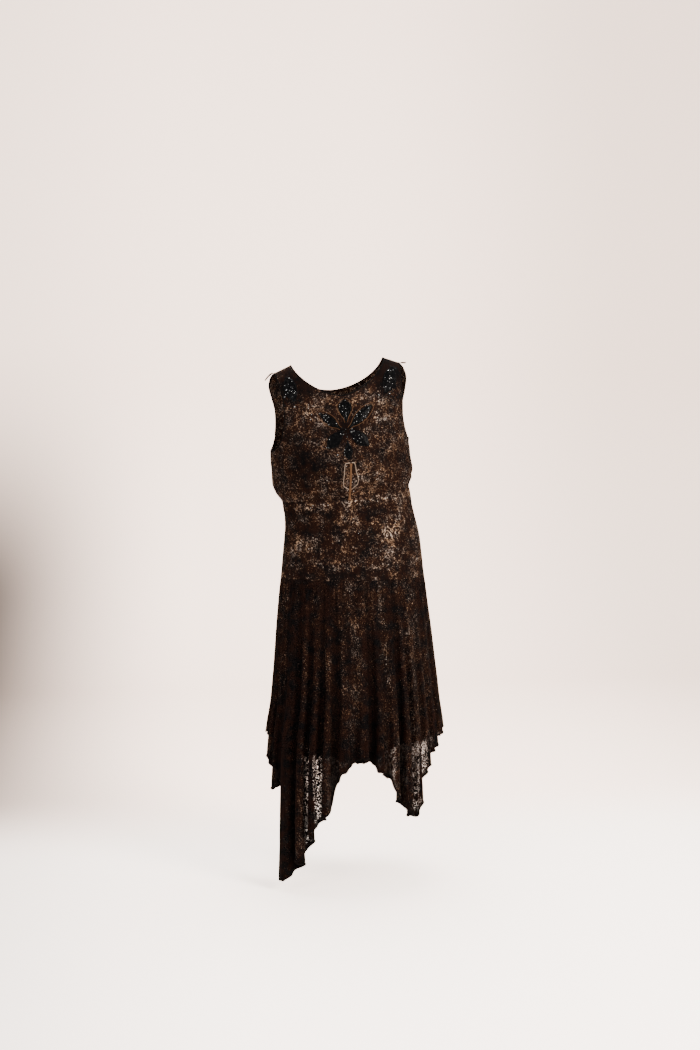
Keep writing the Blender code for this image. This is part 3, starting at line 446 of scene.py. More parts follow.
# Closes an outer skin and its copy inside into one thin shell: both skins and a rim at each open edge.
def shellOf(outer, inner, quads):
    count = len(outer)
    starts = quads.ravel()
    ends = np.roll(quads, -1, axis=1).ravel()
    forward, backward = starts * count + ends, ends * count + starts
    isOpen = ~np.isin(forward, backward)
    rim = np.stack([ends[isOpen], starts[isOpen], starts[isOpen] + count, ends[isOpen] + count], axis=1)
    return np.concatenate([outer, inner]), np.concatenate([quads, quads[:, ::-1] + count, rim])


# Distance along each row of a grid, from its middle column: the running sum of the steps.
def alongRows(points):
    steps = np.linalg.norm(np.diff(points, axis=1), axis=-1)
    run = np.concatenate([np.zeros((points.shape[0], 1)), np.cumsum(steps, axis=1)], axis=1)
    return run - run[:, points.shape[1] // 2][:, None]


# Rosettes of the lace: jittered places in staggered rows, four to seven petals that swell and fade round a
# dark eye. Sizes are shares of the spacing.
def rosettes(across, down, spacing, seed, tall=1.0):
    flower = dict(jitter=0.22, reach=0.34, petal=0.09, rim=0.10, eye=0.05, eyeRim=0.06)
    rng = np.random.default_rng(seed)
    jitter = rng.uniform(-flower["jitter"], flower["jitter"], (64, 64, 2))
    turnOf = rng.uniform(0, 2 * math.pi, (64, 64))
    petals = rng.integers(4, 8, (64, 64))
    best = np.zeros(np.shape(across))
    row0 = np.floor(down / (spacing * tall)).astype(int)
    for rowStep in (-1, 0, 1):
        row = row0 + rowStep
        shifted = across / spacing + 0.5 * (row % 2)
        column0 = np.floor(shifted).astype(int)
        for columnStep in (-1, 0, 1):
            column = column0 + columnStep
            a, b = row % 64, column % 64
            dx = shifted - column - 0.5 - jitter[a, b, 0]
            dy = down / (spacing * tall) - row - 0.5 - jitter[a, b, 1]
            reach = np.hypot(dx, dy)
            turn = np.arctan2(dy, dx) * petals[a, b] + turnOf[a, b]
            edge = flower["reach"] + flower["petal"] * np.cos(turn)
            inside = smoothStep((edge - reach) / flower["rim"])
            inside = inside * smoothStep((reach - flower["eye"]) / flower["eyeRim"])
            best = np.maximum(best, inside * (0.55 + 0.45 * np.cos(turn) ** 2))
    return best


# Distance down a panel at each root: the running length of the unfluted meridian half-way to the side.
def meridian(root):
    roots = np.linspace(0.0, 1.2, 600)
    drop = roots * roots
    x, y = sectionValue("halfWidth", drop) * 0.7, sectionValue("frontDepth", drop) * 0.7
    steps = np.sqrt(np.diff(x) ** 2 + np.diff(y) ** 2 + np.diff(drop) ** 2)
    return np.interp(root, roots, np.concatenate([[0.0], np.cumsum(steps)]))


# The slip's hem: its length, and a dip like a bell under the long point.
def slipHem(angle):
    dip = np.exp(-((wrapped(angle - cut["slipDipAngle"]) / 25) ** 2))
    return cut["slipLength"] + cut["slipDip"] * dip


# Sum of the bells of the patches at each point of the front.
def patchCopper(angle, drop):
    x = sectionValue("centre", drop) + sectionValue("halfWidth", drop) * np.sin(np.radians(angle))
    return bells(patches, x, drop) * (np.cos(np.radians(angle)) > 0)


# Share of a flute's valley at each point: a cosine's power across it, times the flute's own share of depth.
def valleyShare(angle, drop):
    middle = (0.5 + 0.5 * np.cos(2 * math.pi * flutePhase(angle))) ** 1.6
    return middle * fluteDepth(angle, drop) / cut["fluteDepth"]


# How the lace varies over the dress, whichever its panel: sizes in metres, angles in degrees, shares of one.
weave = dict(
    broad=0.65, fine=0.35, fineWide=0.011, fineTall=0.014, paintedLightFrom=-70.0, paintedLightOver=120.0,
    narrowStreak=(0.6, 0.013, 0.20), wideStreak=(0.4, 0.030, 0.40),
    scallopDrop=0.006, scallopDepth=0.010, scallopPitch=0.034, scallopLine=0.004, paintedValleyShade=0.35,
    openRight=0.04, openLeft=0.08, openFrom=-44.0, openOver=6.0, valleyClosed=0.3, belowSlip=0.016,
    openFade=0.02, hemBand=0.018, hemFade=0.010, hemClosed=0.75, flowerClosed=0.55, toneBlotch=0.12,
    patchDark=0.55,
)


# Soft noise of one streak kind: its share, and its lattice across and along the folds.
def streakNoise(kind, across, down, seed):
    share, wide, tall = weave[kind]
    return share * softNoise(across / wide, down / tall, seed)


# Copper, openness and tone of the lace at each point. Copper is the panel's level plus flowers, blotches,
# painted light towards the key light on the right, patches, streaks and a scalloped line, less painted shade
# in the flutes' valleys. The tone carries painted shade in the valleys too. The net opens below the slip's
# hem.
def laceMap(angle, root, across, down, look):
    drop, turn = root * root, wrapped(angle)
    spread, fold = look["blotch"], foldAcross(angle)
    valley = valleyShare(angle, drop)
    flowers = rosettes(across, down, look["rosette"], look["seed"], look["tall"])
    blotch = weave["broad"] * softNoise(across / spread, down / spread, look["seed"] + 1)
    blotch = blotch + weave["fine"] * softNoise(
        across / weave["fineWide"], down / weave["fineTall"], look["seed"] + 2)
    # Painted light: the copper rises from left to right, towards the key light on the right of the dress.
    light = smoothStep((turn - weave["paintedLightFrom"]) / weave["paintedLightOver"]) - 0.5
    streak = streakNoise("narrowStreak", fold, down, look["seed"] + 3)
    streak = streak + streakNoise("wideStreak", fold, down, look["seed"] + 4)
    patch = patchCopper(angle, drop)
    arch = np.abs(np.sin(math.pi * across / weave["scallopPitch"]))
    scallop = cut["waistSeam"] + weave["scallopDrop"] + weave["scallopDepth"] * arch
    copper = look["copper"] + look["flower"] * flowers + look["uneven"] * blotch + look["side"] * light
    copper = copper + patch + look["streak"] * streak
    copper = copper + look["edging"] * np.exp(-(((drop - scallop) / weave["scallopLine"]) ** 2))
    # Painted shade: less copper in the flutes' valleys, so that they read darker.
    copper = copper - weave["paintedValleyShade"] * look["fold"] * np.minimum(valley, 1.0)

    # Openness: little in most of the hem, much in the windows, and none along the hem's cord.
    atLeft = smoothStep((turn - weave["openFrom"]) / weave["openOver"])
    base = weave["openRight"] + weave["openLeft"] * atLeft
    openness = look["sheerHem"] * (base + (1 - base) * np.minimum(bells(windows, turn, drop), 1.0))
    openness = openness * (1 - weave["valleyClosed"] * valley)
    below = smoothStep((drop - slipHem(angle) - weave["belowSlip"]) / weave["openFade"])
    hem = smoothThrough(hemLine["angle"], hemLine["drop"], turn)
    edge = smoothStep((drop - hem + weave["hemBand"]) / weave["hemFade"])
    sheer = look["sheer"] + (openness - look["sheer"]) * below
    sheer = sheer * (1 - weave["hemClosed"] * edge * below) * (1 - weave["flowerClosed"] * flowers)

    # Painted shade: the tone darkens in the flutes' valleys; its blotches and the darker patches are the
    # lace's own.
    toneAndShade = (look["toneAndShade"] + weave["toneBlotch"] * blotch) * (1 - look["fold"] * np.minimum(valley, 1.0))
    toneAndShade = toneAndShade * (1 - weave["patchDark"] * np.clip(-patch, 0.0, 1.0))
    return np.stack([copper, sheer, toneAndShade], axis=-1), flowers


# Distance across the folds: turns of the flutes times a flute's usual width, so streaks keep to the folds.
def foldAcross(angle):
    return flutePhase(angle) * 0.046


# A cloth panel: a thin shell on the dress whose outer face carries the low relief of the rosettes.
def addPanel(name, node, angle, root, quads, across, look, material):
    down = meridian(root)
    laceValues, flowers = laceMap(angle, root, across, down, look)
    normal = surfaceNormal(angle, root)
    ground = surface(angle, root)
    relief = 0.00030 * flowers + 0.00010 * softNoise(across / 0.006, down / 0.006, 21)
    points, faces = shellOf(ground + normal * relief[:, None], ground - normal * cut["wall"], quads)
    wide, tall = look["stretch"], down / look["stretch"]
    values = {
        "clothCoord": np.stack([across * wide, tall, 0 * down], axis=-1),
        "foldCoord": np.stack([foldAcross(angle) * wide, tall, 0 * down], axis=-1),
        "laceMap": laceValues,
    }
    bothSkins = {key: np.concatenate([value, value]) for key, value in values.items()}
    return dress(addMesh(name, points, faces, material, bothSkins), "lace", node)


# The lace: near-black net, brown under it, with couched copper thread in swirls, near-white spots painted as
# glints and real holes.
def laceMaterial():
    look = dict(
        night="#0b090b", umber="#28130b", brown="#3f291d", copper="#875d42", beige="#dfcdbc", knotGlint="#efe4d8",
        blotchScale=38.0, fleckScale=420.0, bendScale=165.0, bendTurns=2.2, ringScale=60.0, ringTurns=1.3,
        swirlScale=34.0, swirlTurns=4.0, swayScale=70.0, swayTurns=1.5,
        netScale=250.0, knotGlintScale=190.0, relief=0.0005,
    )
    material, shader = newMaterial("black_copper_lace")
    place = addNode(material, "TexCoord", {}, "Object")
    cloth = addNode(material, "Attribute", {}, "Vector", attribute_name="clothCoord")
    mapped = addNode(material, "Attribute", {}, "Vector", attribute_name="laceMap")
    copper, sheer, toneAndShade = addNode(material, "SeparateXYZ", {"Vector": mapped}, None)

    # Thread flecks of 3 mm, and where the map holds more copper more of them take the light.
    fleck = addNode(material, "TexNoise", {
        "Vector": place, "Scale": look["fleckScale"], "Detail": 2.0, "Roughness": 0.6})
    uneven = maths(material, "MULTIPLY_ADD", fleck, 2.1, -0.55)
    crowd = maths(material, "MULTIPLY_ADD", copper, 0.60, uneven)
    strength = ranged(material, crowd, 0.62, 1.10)
    under = ranged(material, crowd, 0.50, 1.20)

    # Couched thread in swirls: even steps of a soft noise added to the distance from scattered centres.
    bend = addNode(material, "TexNoise", {
        "Vector": cloth, "Scale": look["bendScale"], "Detail": 1.0, "Distortion": 0.5})
    ring = addNode(material, "TexVoronoi", {"Vector": cloth, "Scale": look["ringScale"]}, feature="F1")
    bent = maths(material, "MULTIPLY", bend, look["bendTurns"])
    turns = maths(material, "MULTIPLY_ADD", ring, look["ringTurns"], bent)
    wave = maths(material, "PINGPONG", turns, 0.5)

    # In the richest patches the swirls are wider and run in rings.
    sway = addNode(material, "TexNoise", {
        "Vector": cloth, "Scale": look["swayScale"], "Detail": 1.0, "Distortion": 0.5})
    swayed = maths(material, "MULTIPLY", sway, look["swayTurns"])
    swirl = addNode(material, "TexVoronoi", {"Vector": cloth, "Scale": look["swirlScale"]}, feature="F1")
    wide = maths(material, "MULTIPLY_ADD", swirl, look["swirlTurns"], swayed)
    wideWave = maths(material, "PINGPONG", wide, 0.5)
    rich = ranged(material, copper, 0.62, 0.80)
    wave = addNode(material, "Mix", {"Factor": rich, "A": wave, "B": wideWave}, data_type="FLOAT")
    line = ranged(material, wave, 0.25, 0.12)
    full = maths(material, "MULTIPLY", line, strength)

    # Net threads round cells of about 8 mm by 3 mm.
    warp = addNode(material, "TexNoise", {"Vector": cloth, "Scale": 90.0, "Detail": 1.0}, "Color")
    pulled = vectorMaths(material, "MULTIPLY_ADD", warp, (0.003, 0.003, 0.0), cloth)
    pulled = vectorMaths(material, "MULTIPLY", pulled, (0.5, 1.3, 1.0))
    cell = addNode(material, "TexVoronoi", {
        "Vector": pulled, "Scale": look["netScale"]}, feature="DISTANCE_TO_EDGE")
    net = ranged(material, cell, 0.20, 0.13)

    # Painted glints: near-white spots of 2 mm, raised and solid like small knots, in a few of the cells, and
    # only where there is much copper.
    spot = addNode(material, "TexVoronoi", {"Vector": place, "Scale": look["knotGlintScale"]}, None, feature="F1")
    chance = addNode(material, "SeparateXYZ", {"Vector": spot["Color"]})
    likely = maths(material, "MULTIPLY_ADD", copper, 0.30, chance)
    rare = ranged(material, likely, 1.04, 1.10)
    near = ranged(material, spot["Distance"], 0.28, 0.18)
    knotGlint = maths(material, "MULTIPLY", rare, near)

    # Long streaks of 9 mm by 300 mm along the folds: painted light and shade that lightens and darkens the
    # lace.
    folds = addNode(material, "Attribute", {}, "Vector", attribute_name="foldCoord")
    drawn = vectorMaths(material, "MULTIPLY", folds, (110.0, 4.0, 1.0))
    streak = addNode(material, "TexNoise", {"Vector": drawn, "Scale": 1.0, "Detail": 3.0})
    paintedShading = ranged(material, streak, 0.30, 0.70, 0.60, 1.25)
    shadedTone = maths(material, "MULTIPLY", paintedShading, toneAndShade)

    blotch = addNode(material, "TexNoise", {"Vector": place, "Scale": look["blotchScale"], "Detail": 2.0})
    warm = ranged(material, blotch, 0.38, 0.60)
    ground = mixed(material, warm, rgba(look["night"]), rgba(look["umber"]))
    first = mixed(material, under, ground, rgba(look["brown"]))
    metalHue = mixed(material, strength, rgba(look["copper"]), rgba(look["beige"]))
    cast = mixed(material, warm, (0.97, 1.0, 1.06, 1.0), (1.18, 0.96, 0.74, 1.0))
    metalHue = vectorMaths(material, "MULTIPLY", metalHue, cast)
    second = mixed(material, full, first, metalHue)
    third = mixed(material, knotGlint, second, rgba(look["knotGlint"]))
    colour = scaled(material, third, shadedTone)
    metal = maths(material, "MULTIPLY", full, 0.6)
    rough = ranged(material, full, 0.0, 1.0, 0.85, 0.45)

    solid = maths(material, "MAXIMUM", net, full)
    solid = maths(material, "MAXIMUM", solid, knotGlint)
    hole = maths(material, "SUBTRACT", 1.0, solid)
    opened = maths(material, "MULTIPLY", hole, sheer)
    alpha = maths(material, "SUBTRACT", 1.0, opened, use_clamp=True)

    height = maths(material, "MULTIPLY_ADD", net, 0.3, full)
    height = maths(material, "ADD", height, knotGlint)
    bump = addNode(material, "Bump", {"Strength": 0.8, "Distance": look["relief"], "Height": height})
    setInputs(material, shader, {
        "Base Color": colour, "Metallic": metal, "Roughness": rough, "Alpha": alpha, "Normal": bump,
        "Specular IOR Level": 0.12})
    return material


# Satin, yarn and braid: two shades mixed by a fine noise, which runs with the grain and lifts it a little.
def threadMaterial(name, dark, light, grain, noise, lift, shine):
    material, shader = newMaterial(name)
    place = addNode(material, "TexCoord", {}, "Object")
    along = vectorMaths(material, "MULTIPLY", place, grain)
    thread = addNode(material, "TexNoise", {"Vector": along, "Scale": 1.0, **noise})
    colour = mixed(material, thread, rgba(dark), rgba(light))
    bump = addNode(material, "Bump", {"Strength": lift[0], "Distance": lift[1], "Height": thread})
    setInputs(material, shader, {"Base Color": colour, "Normal": bump, **shine})
    return material


# The slip: dark satin with a fine slub, smoother and a little shinier than the lace.
def slipMaterial():
    shine = {"Roughness": 0.48, "Sheen Weight": 0.2, "Sheen Roughness": 0.4}
    return threadMaterial("dark_satin_slip", "#120b0a", "#2a1b17", (900.0, 900.0, 160.0), {"Detail": 2.0},
                          (0.3, 0.0002), shine)


# Rolled bindings and hem cord: matt black yarn with the twist's small ridges.
def cordMaterial(name, dark, light, pitch):
    return threadMaterial(name, dark, light, (pitch, pitch, pitch), {"Detail": 3.0, "Roughness": 0.7},
                          (0.7, 0.0004), {"Roughness": 0.75, "Specular IOR Level": 0.12})


# Copper or pale gold braid: metal thread whose twist breaks up the shine.
def braidMaterial(name, dark, light):
    return threadMaterial(name, dark, light, (900.0, 900.0, 900.0), {"Detail": 2.0, "Distortion": 0.6},
                          (0.6, 0.0003), {"Metallic": 0.45, "Roughness": 0.45})


# Jet beads: near-black glass, each with its own tint, and a clear foil-backed one here and there.
def jetMaterial():
    material, shader = newMaterial("jet_beads")
    tint = addNode(material, "Attribute", {}, "Fac", attribute_name="tint")
    place = addNode(material, "TexCoord", {}, "Object")
    grime = addNode(material, "TexNoise", {"Vector": place, "Scale": 700.0, "Detail": 2.0})
    clear = ranged(material, tint, 0.950, 0.955)
    shine = ranged(material, tint, 0.70, 0.90, 0.10, 0.45)
    warm = mixed(material, tint, rgba("#05070a"), rgba("#0d0b0d"))
    colour = mixed(material, clear, warm, rgba("#f2f6f6"))
    rough = ranged(material, grime, 0.3, 0.7, 0.08, 0.26)
    metal = maths(material, "MULTIPLY", clear, 0.9)
    setInputs(material, shader, {"Base Color": colour, "Roughness": rough, "Metallic": metal, "IOR": 1.6,
        "Specular IOR Level": shine})
    return material


# A bodice panel's grid: its body under the neckline, then a strap on each side that runs up to the shoulder.
def bodiceGrid(front, columns, sideRows, armRows, strapRows):
    waist = cut["waistSeam"] - cut["seamGap"] / 2
    neckDepth = cut["frontNeckDepth"] if front else cut["backNeckDepth"]
    sideDrops = np.linspace(waist, cut["armholeDepth"], sideRows)[:-1]
    middleRoots = np.sqrt(np.linspace(waist, neckDepth, sideRows + armRows))
    rising = np.linspace(0.0, 1.0, strapRows + 1)[1:]
    neckAngles, neckRoots = neckline(rising, front)
    shares = np.concatenate([
        np.linspace(0.0, cut["strapStart"], armRows + 1),
        cut["strapStart"] + (1 - cut["strapStart"]) * rising**1.25,
    ])
    over = np.linspace(0.0, 1.0, columns + 1)
    halves, straps = {}, {}
    for way in (1, -1):
        edgeAngles, edgeRoots = armEdge(shares, front, way)
        sideAngles = np.concatenate([seamAngle(sideDrops), edgeAngles[:armRows + 1]])
        sideRoots = np.concatenate([np.sqrt(sideDrops), edgeRoots[:armRows + 1]])
        bodyRoots = middleRoots[:, None] + (sideRoots - middleRoots)[:, None] * over
        halves[way] = (way * sideAngles[:, None] * over, bodyRoots)
        strapAngles = neckAngles[:, None] + (edgeAngles[armRows + 1:] - neckAngles)[:, None] * over
        strapRoots = neckRoots[:, None] + (edgeRoots[armRows + 1:] - neckRoots)[:, None] * over
        steepness = sections["frontDepth" if front else "backDepth"][1] / math.sqrt(sections["drop"][1])
        strapRoots[-1] = cut["seamGap"] / 2 / (steepness * np.cos(np.radians(strapAngles[-1])))
        straps[way] = (way * strapAngles, strapRoots)
    body = [np.hstack([halves[-1][part][:, :0:-1], halves[1][part]]) for part in (0, 1)]
    angles, roots = [body[0].ravel()], [body[1].ravel()]
    bodyIndex = np.arange(body[0].size).reshape(body[0].shape)
    quads, total = [gridQuads(bodyIndex[::-1])], body[0].size
    for way in (1, -1):
        strap = np.arange(straps[way][0].size).reshape(straps[way][0].shape) + total
        angles.append(straps[way][0].ravel())
        roots.append(straps[way][1].ravel())
        total += strap.size
        foot = bodyIndex[-1, columns:] if way > 0 else bodyIndex[-1, columns::-1]
        index = np.vstack([foot[None, :], strap])[::-1]
        quads.append(gridQuads(index if way > 0 else index[:, ::-1]))
    angles, roots, quads = np.concatenate(angles), np.concatenate(roots), np.concatenate(quads)
    if not front:
        angles, quads = 180.0 - angles, quads[:, ::-1]
    return angles, roots, quads


# What the panels share: no openness, no painted side light, no painted valley shade and an even weave,
# unless a panel's look says otherwise.
plainLook = dict(
    flower=0.20, uneven=0.34, side=0.0, sheer=0.0, sheerHem=0.0, fold=0.0, streak=0.08, stretch=1.0,
    toneAndShade=1.0, edging=0.0,
)


# Front and back of the bodice.
def addBodice(material):
    look = dict(plainLook, rosette=0.024, tall=1.0, blotch=0.026)
    meanRadius = 0.158
    own = dict(front=dict(seed=31, copper=0.23), back=dict(seed=41, copper=0.30, flower=0.22))
    for side in own:
        angle, root, quads = bodiceGrid(side == "front", 80, 46, 40, 46)
        across = np.radians(wrapped(angle - (0.0 if side == "front" else 180.0))) * meanRadius
        name = "bodice_" + side
        piece = addPanel("lace_" + name, name, angle, root, quads, across, dict(look, **own[side]), material)


# The hip band between the dropped waist and the skirt, in two pieces.
def addHipBand(material):
    drops = np.linspace(cut["waistSeam"] + cut["seamGap"] / 2, cut["hipSeam"] - cut["seamGap"] / 2, 74)
    for side, turned, seed in (("front", 0.0, 51), ("back", 180.0, 61)):
        # Side paints light on the front, towards the key light on the right.
        look = dict(plainLook, rosette=0.044, tall=0.86, seed=seed, blotch=0.03, copper=0.10, flower=0.44,
                    uneven=0.38, side=0.15 if side == "front" else 0.0, edging=0.45)
        angle = seamAngle(drops)[:, None] * np.linspace(-1.0, 1.0, 191)[None, :] + turned
        root = np.sqrt(drops)[:, None] + 0 * angle
        across = alongRows(surface(angle, root))
        quads = gridQuads(np.arange(angle.size).reshape(angle.shape))
        piece = addPanel("lace_hip_band_" + side, "hip_band_" + side, angle.ravel(), root.ravel(), quads,
                         across.ravel(), look, material)


# The skirt: flutes that deepen from the hip seam to the handkerchief hem, in a front and a back.
def addSkirt(material):
    perFlute, rows = 20, 92
    every = fluteAngles(perFlute)
    for side, low, seed in (("front", -90.0, 71), ("back", 90.0, 81)):
        # Side paints light on the front towards the key light on the right, and fold sets the painted shade
        # in the flutes' valleys.
        look = dict(plainLook, rosette=0.040, tall=1.7, seed=seed, blotch=0.036, copper=-0.05, flower=0.12,
                    uneven=0.20, side=0.14 if side == "front" else 0.0, sheer=0.25, sheerHem=0.95, fold=0.85,
                    streak=0.46, stretch=1.6, toneAndShade=0.90)
        turned = np.where(every < low, every + 360.0, every)
        inside = np.sort(turned[(turned > low + 0.25) & (turned < low + 179.75)])
        short = 90.0 - seamAngle(cut["hipSeam"])
        angles = np.concatenate([[low + short], inside, [low + 180.0 - short]])
        rise = np.linspace(0.0, 1.0, rows + 1)
        top = cut["hipSeam"] + cut["seamGap"] / 2
        root = np.sqrt(top + (hemDrop(angles) - top)[None, :] * rise[:, None])
        angle = np.broadcast_to(angles, root.shape)
        across = alongRows(surface(angle, root))
        quads = gridQuads(np.arange(root.size).reshape(root.shape))
        piece = addPanel("lace_skirt_" + side, "skirt_" + side, angle.ravel(), root.ravel(), quads,
                         across.ravel(), look, material)


# A point of the slip: a smooth ring inside the flutes, with soft vertical folds towards its hem.
def slipSurface(angle, drop, deeper):
    turn = np.radians(angle)
    grown = np.clip((drop - cut["hipSeam"]) / (cut["fluteFullDrop"] - cut["hipSeam"]), 0.0, 1.0)
    sink = cut["slipClear"] + cut["fluteDepth"] * 1.05 * grown + deeper
    wander = 3 * softNoise(angle / 24.0, drop * 3, 5, 15)
    folds = 0.6 * np.sin(turn * 13 + 0.8) + 0.4 * np.sin(turn * 22 + 2.0 + wander)
    sink = sink + cut["slipFold"] * smoothStep(grown / 0.7) * (1 + folds)
    front, back = sectionValue("frontDepth", drop), sectionValue("backDepth", drop)
    depth = np.where(np.cos(turn) > 0, front, back) - sink
    x = sectionValue("centre", drop) + (sectionValue("halfWidth", drop) - sink) * np.sin(turn)
    return np.stack([x, -depth * np.cos(turn), -drop], axis=-1)


# The slip under the skirt, a closed tube from the hip seam to its own hem.
def addSlip(material):
    angles = np.linspace(-180.0, 180.0, 240, endpoint=False)[None, :]
    start = cut["hipSeam"] + 0.002
    drop = start + (slipHem(angles) - start) * np.linspace(0.0, 1.0, 50)[:, None]
    angle = angles + 0 * drop
    index = np.arange(angle.size).reshape(angle.shape)
    quads = gridQuads(np.hstack([index, index[:, :1]]))
    points, faces = shellOf(
        slipSurface(angle, drop, 0.0).reshape(-1, 3),
        slipSurface(angle, drop, cut["slipWall"]).reshape(-1, 3), quads)
    piece = dress(addMesh("satin_underslip", points, faces, material), "slip", "underslip")


# A cord along its centres: a ring of points round each, closed into a loop or capped at both ends.
def addCord(name, centres, normals, radii, sides, closed, material, flat=1.0):
    if closed:
        ahead = np.roll(centres, -1, axis=0) - np.roll(centres, 1, axis=0)
    else:
        ahead = np.gradient(centres, axis=0)
    across = np.cross(ahead, normals)
    across /= np.linalg.norm(across, axis=1, keepdims=True)
    up = np.cross(across, ahead)
    up /= np.linalg.norm(up, axis=1, keepdims=True)
    turns = np.arange(sides) * 2 * math.pi / sides
    radii = np.broadcast_to(radii, len(centres))[:, None, None]
    sideways, rising = np.cos(turns)[None, :, None], flat * np.sin(turns)[None, :, None]
    ring = centres[:, None, :] + radii * (across[:, None, :] * sideways + up[:, None, :] * rising)
    index = np.arange(ring.shape[0] * sides).reshape(-1, sides)
    index = np.hstack([index, index[:, :1]])
    if closed:
        index = np.vstack([index, index[:1]])
    faces = gridQuads(index).tolist()
    if not closed:
        faces += [index[0, :sides].tolist(), index[-1, sides - 1::-1].tolist()]
    piece = addMesh(name, ring.reshape(-1, 3), faces, material)
    faceOut(piece)
    return piece


# Turns a closed piece's faces out if its signed volume, the sum of its corner triple products, is negative.
def faceOut(piece):
    mesh = piece.data
    mesh.calc_loop_triangles()
    corners = np.empty(len(mesh.loop_triangles) * 3, int)
    mesh.loop_triangles.foreach_get("vertices", corners)
    points = np.empty(len(mesh.vertices) * 3)
    mesh.vertices.foreach_get("co", points)
    a, b, c = points.reshape(-1, 3)[corners.reshape(-1, 3)].transpose(1, 0, 2)
    if np.sum(a * np.cross(b, c)) < 0:
        mesh.flip_normals()


# A rolled binding along a cut edge, its middle this far past the edge in the plane of the cloth.
def addBinding(name, node, angle, root, roll, material, slotName):
    normal = surfaceNormal(angle, root)
    edge = surface(angle, root) - normal * cut["wall"] / 2
    ahead = np.roll(edge, -1, axis=0) - np.roll(edge, 1, axis=0)
    away = np.cross(ahead, normal)
    away /= np.linalg.norm(away, axis=1, keepdims=True)
    target = np.array(roll.get("outside", edge.mean(axis=0)))
    way = 1.0 if np.mean(np.sum((target - edge) * away, axis=1)) > 0 else -1.0
    run = np.arange(len(edge))
    radii = roll["radius"] * (1 + roll["swell"] * softNoise(run / 3.0, 0 * run + 2.5, 17))
    piece = addCord(name, edge + way * roll["reach"] * away, normal, radii, 8, True, material)
    return dress(piece, slotName, node)


# Bindings round the neck and both armholes.
def addBindings(material):
    roll = dict(radius=0.0018, reach=0.0014, swell=0.0)
    rising = np.linspace(0.0, 1.0, 120)
    frontAngle, frontRoot = neckline(rising, True)
    backAngle, backRoot = neckline(rising, False)
    halfAngles = np.concatenate([frontAngle, 180.0 - backAngle[-2::-1]])
    halfRoots = np.concatenate([frontRoot, backRoot[-2::-1]])
    angle = np.concatenate([halfAngles, -halfAngles[-2:0:-1]])
    root = np.concatenate([halfRoots, halfRoots[-2:0:-1]])
    addBinding("rolled_neck_binding", "neck_binding", angle, root, roll, material, "binding")
    for side, way in (("left", 1), ("right", -1)):
        frontAngle, frontRoot = armEdge(rising, True, way)
        backAngle, backRoot = armEdge(rising, False, way)
        frontAngle[0] = 90.0
        angle = np.concatenate([frontAngle, 180.0 - backAngle[-2:0:-1]]) * way
        root = np.concatenate([frontRoot, backRoot[-2:0:-1]])
        addBinding("rolled_armhole_binding_" + side, "armhole_binding_" + side, angle, root, roll, material,
                   "binding")


# The loose end of each armhole binding: a cord off the shoulder, whose droop is a power of its reach.
def addShoulderEnds(material):
    end = dict(radius=0.0021, foot=0.6, swell=0.3, taper=0.35, forward=0.004, lower=0.0008)
    places = (("left", 1, 0.0054, 0.014, 0.000), ("right", -1, 0.0046, 0.021, 0.019))
    for side, way, stand, length, droop in places:
        reach = np.linspace(0.0, 1.0, 24)
        angle, root = armEdge(np.array([1.0]), True, way)
        edge = surface(way * angle, root)[0]
        x = edge[0] + way * (stand + length * reach)
        centres = np.stack([x, -end["forward"] * reach, edge[2] - end["lower"] - droop * reach**1.6], axis=1)
        normals = np.broadcast_to(np.array([0.0, 1.0, 0.0]), centres.shape)
        radii = end["radius"] * (end["foot"] + (1 - end["foot"]) * smoothStep(reach / end["swell"]))
        radii = radii * (1 - end["taper"] * reach**2)
        piece = addCord("loose_binding_end_" + side, centres, normals, radii, 8, False, material)
        dress(piece, "binding", "binding_end_" + side)


# The firm corded edge all round the handkerchief hem, with a thick and thin yarn.
def addHemEdging(material):
    roll = dict(radius=0.0023, reach=0.0016, swell=0.18, outside=(0.04, 0.0, -9.0))
    angle = fluteAngles(48)
    root = np.sqrt(hemDrop(angle))
    return addBinding("corded_hem_edging", "hem_edging", angle, root, roll, material, "hem_cord")


# Points and outward normals of the bodice front, from the distance to the side and the drop.
def onFront(x, drop):
    angle, root = angleAt(x - sectionValue("centre", drop), drop), np.sqrt(drop)
    return surface(angle, root), surfaceNormal(angle, root)


# A leaf's own frame: its base, its length, and the directions along and across it.
def leafFrame(base, tip):
    base, tip = np.array(base), np.array(tip)
    length = float(np.hypot(*(tip - base)))
    along = (tip - base) / length
    return base, length, along, np.array([-along[1], along[0]])


# A small round bead: rings of six points between two poles.
def beadShape(rings, sides=6):
    latitudes = np.linspace(-math.pi / 2, math.pi / 2, rings + 2)[1:-1]
    turns = np.arange(sides) * 2 * math.pi / sides
    circle = np.stack([
        np.outer(np.cos(latitudes), np.cos(turns)), np.outer(np.cos(latitudes), np.sin(turns)),
        np.outer(np.sin(latitudes), np.ones(sides))], axis=-1).reshape(-1, 3)
    points = np.concatenate([circle, [[0, 0, -1.0], [0, 0, 1.0]]])
    south, north, last = len(points) - 2, len(points) - 1, (rings - 1) * sides
    faces = []
    for side in range(sides):
        ahead = (side + 1) % sides
        faces.append((south, ahead, side))
        faces.append((north, last + side, last + ahead))
        for ring in range(rings - 1):
            low, high = ring * sides, (ring + 1) * sides
            faces += [(low + side, low + ahead, high + ahead), (low + side, high + ahead, high + side)]
    return points, np.array(faces)


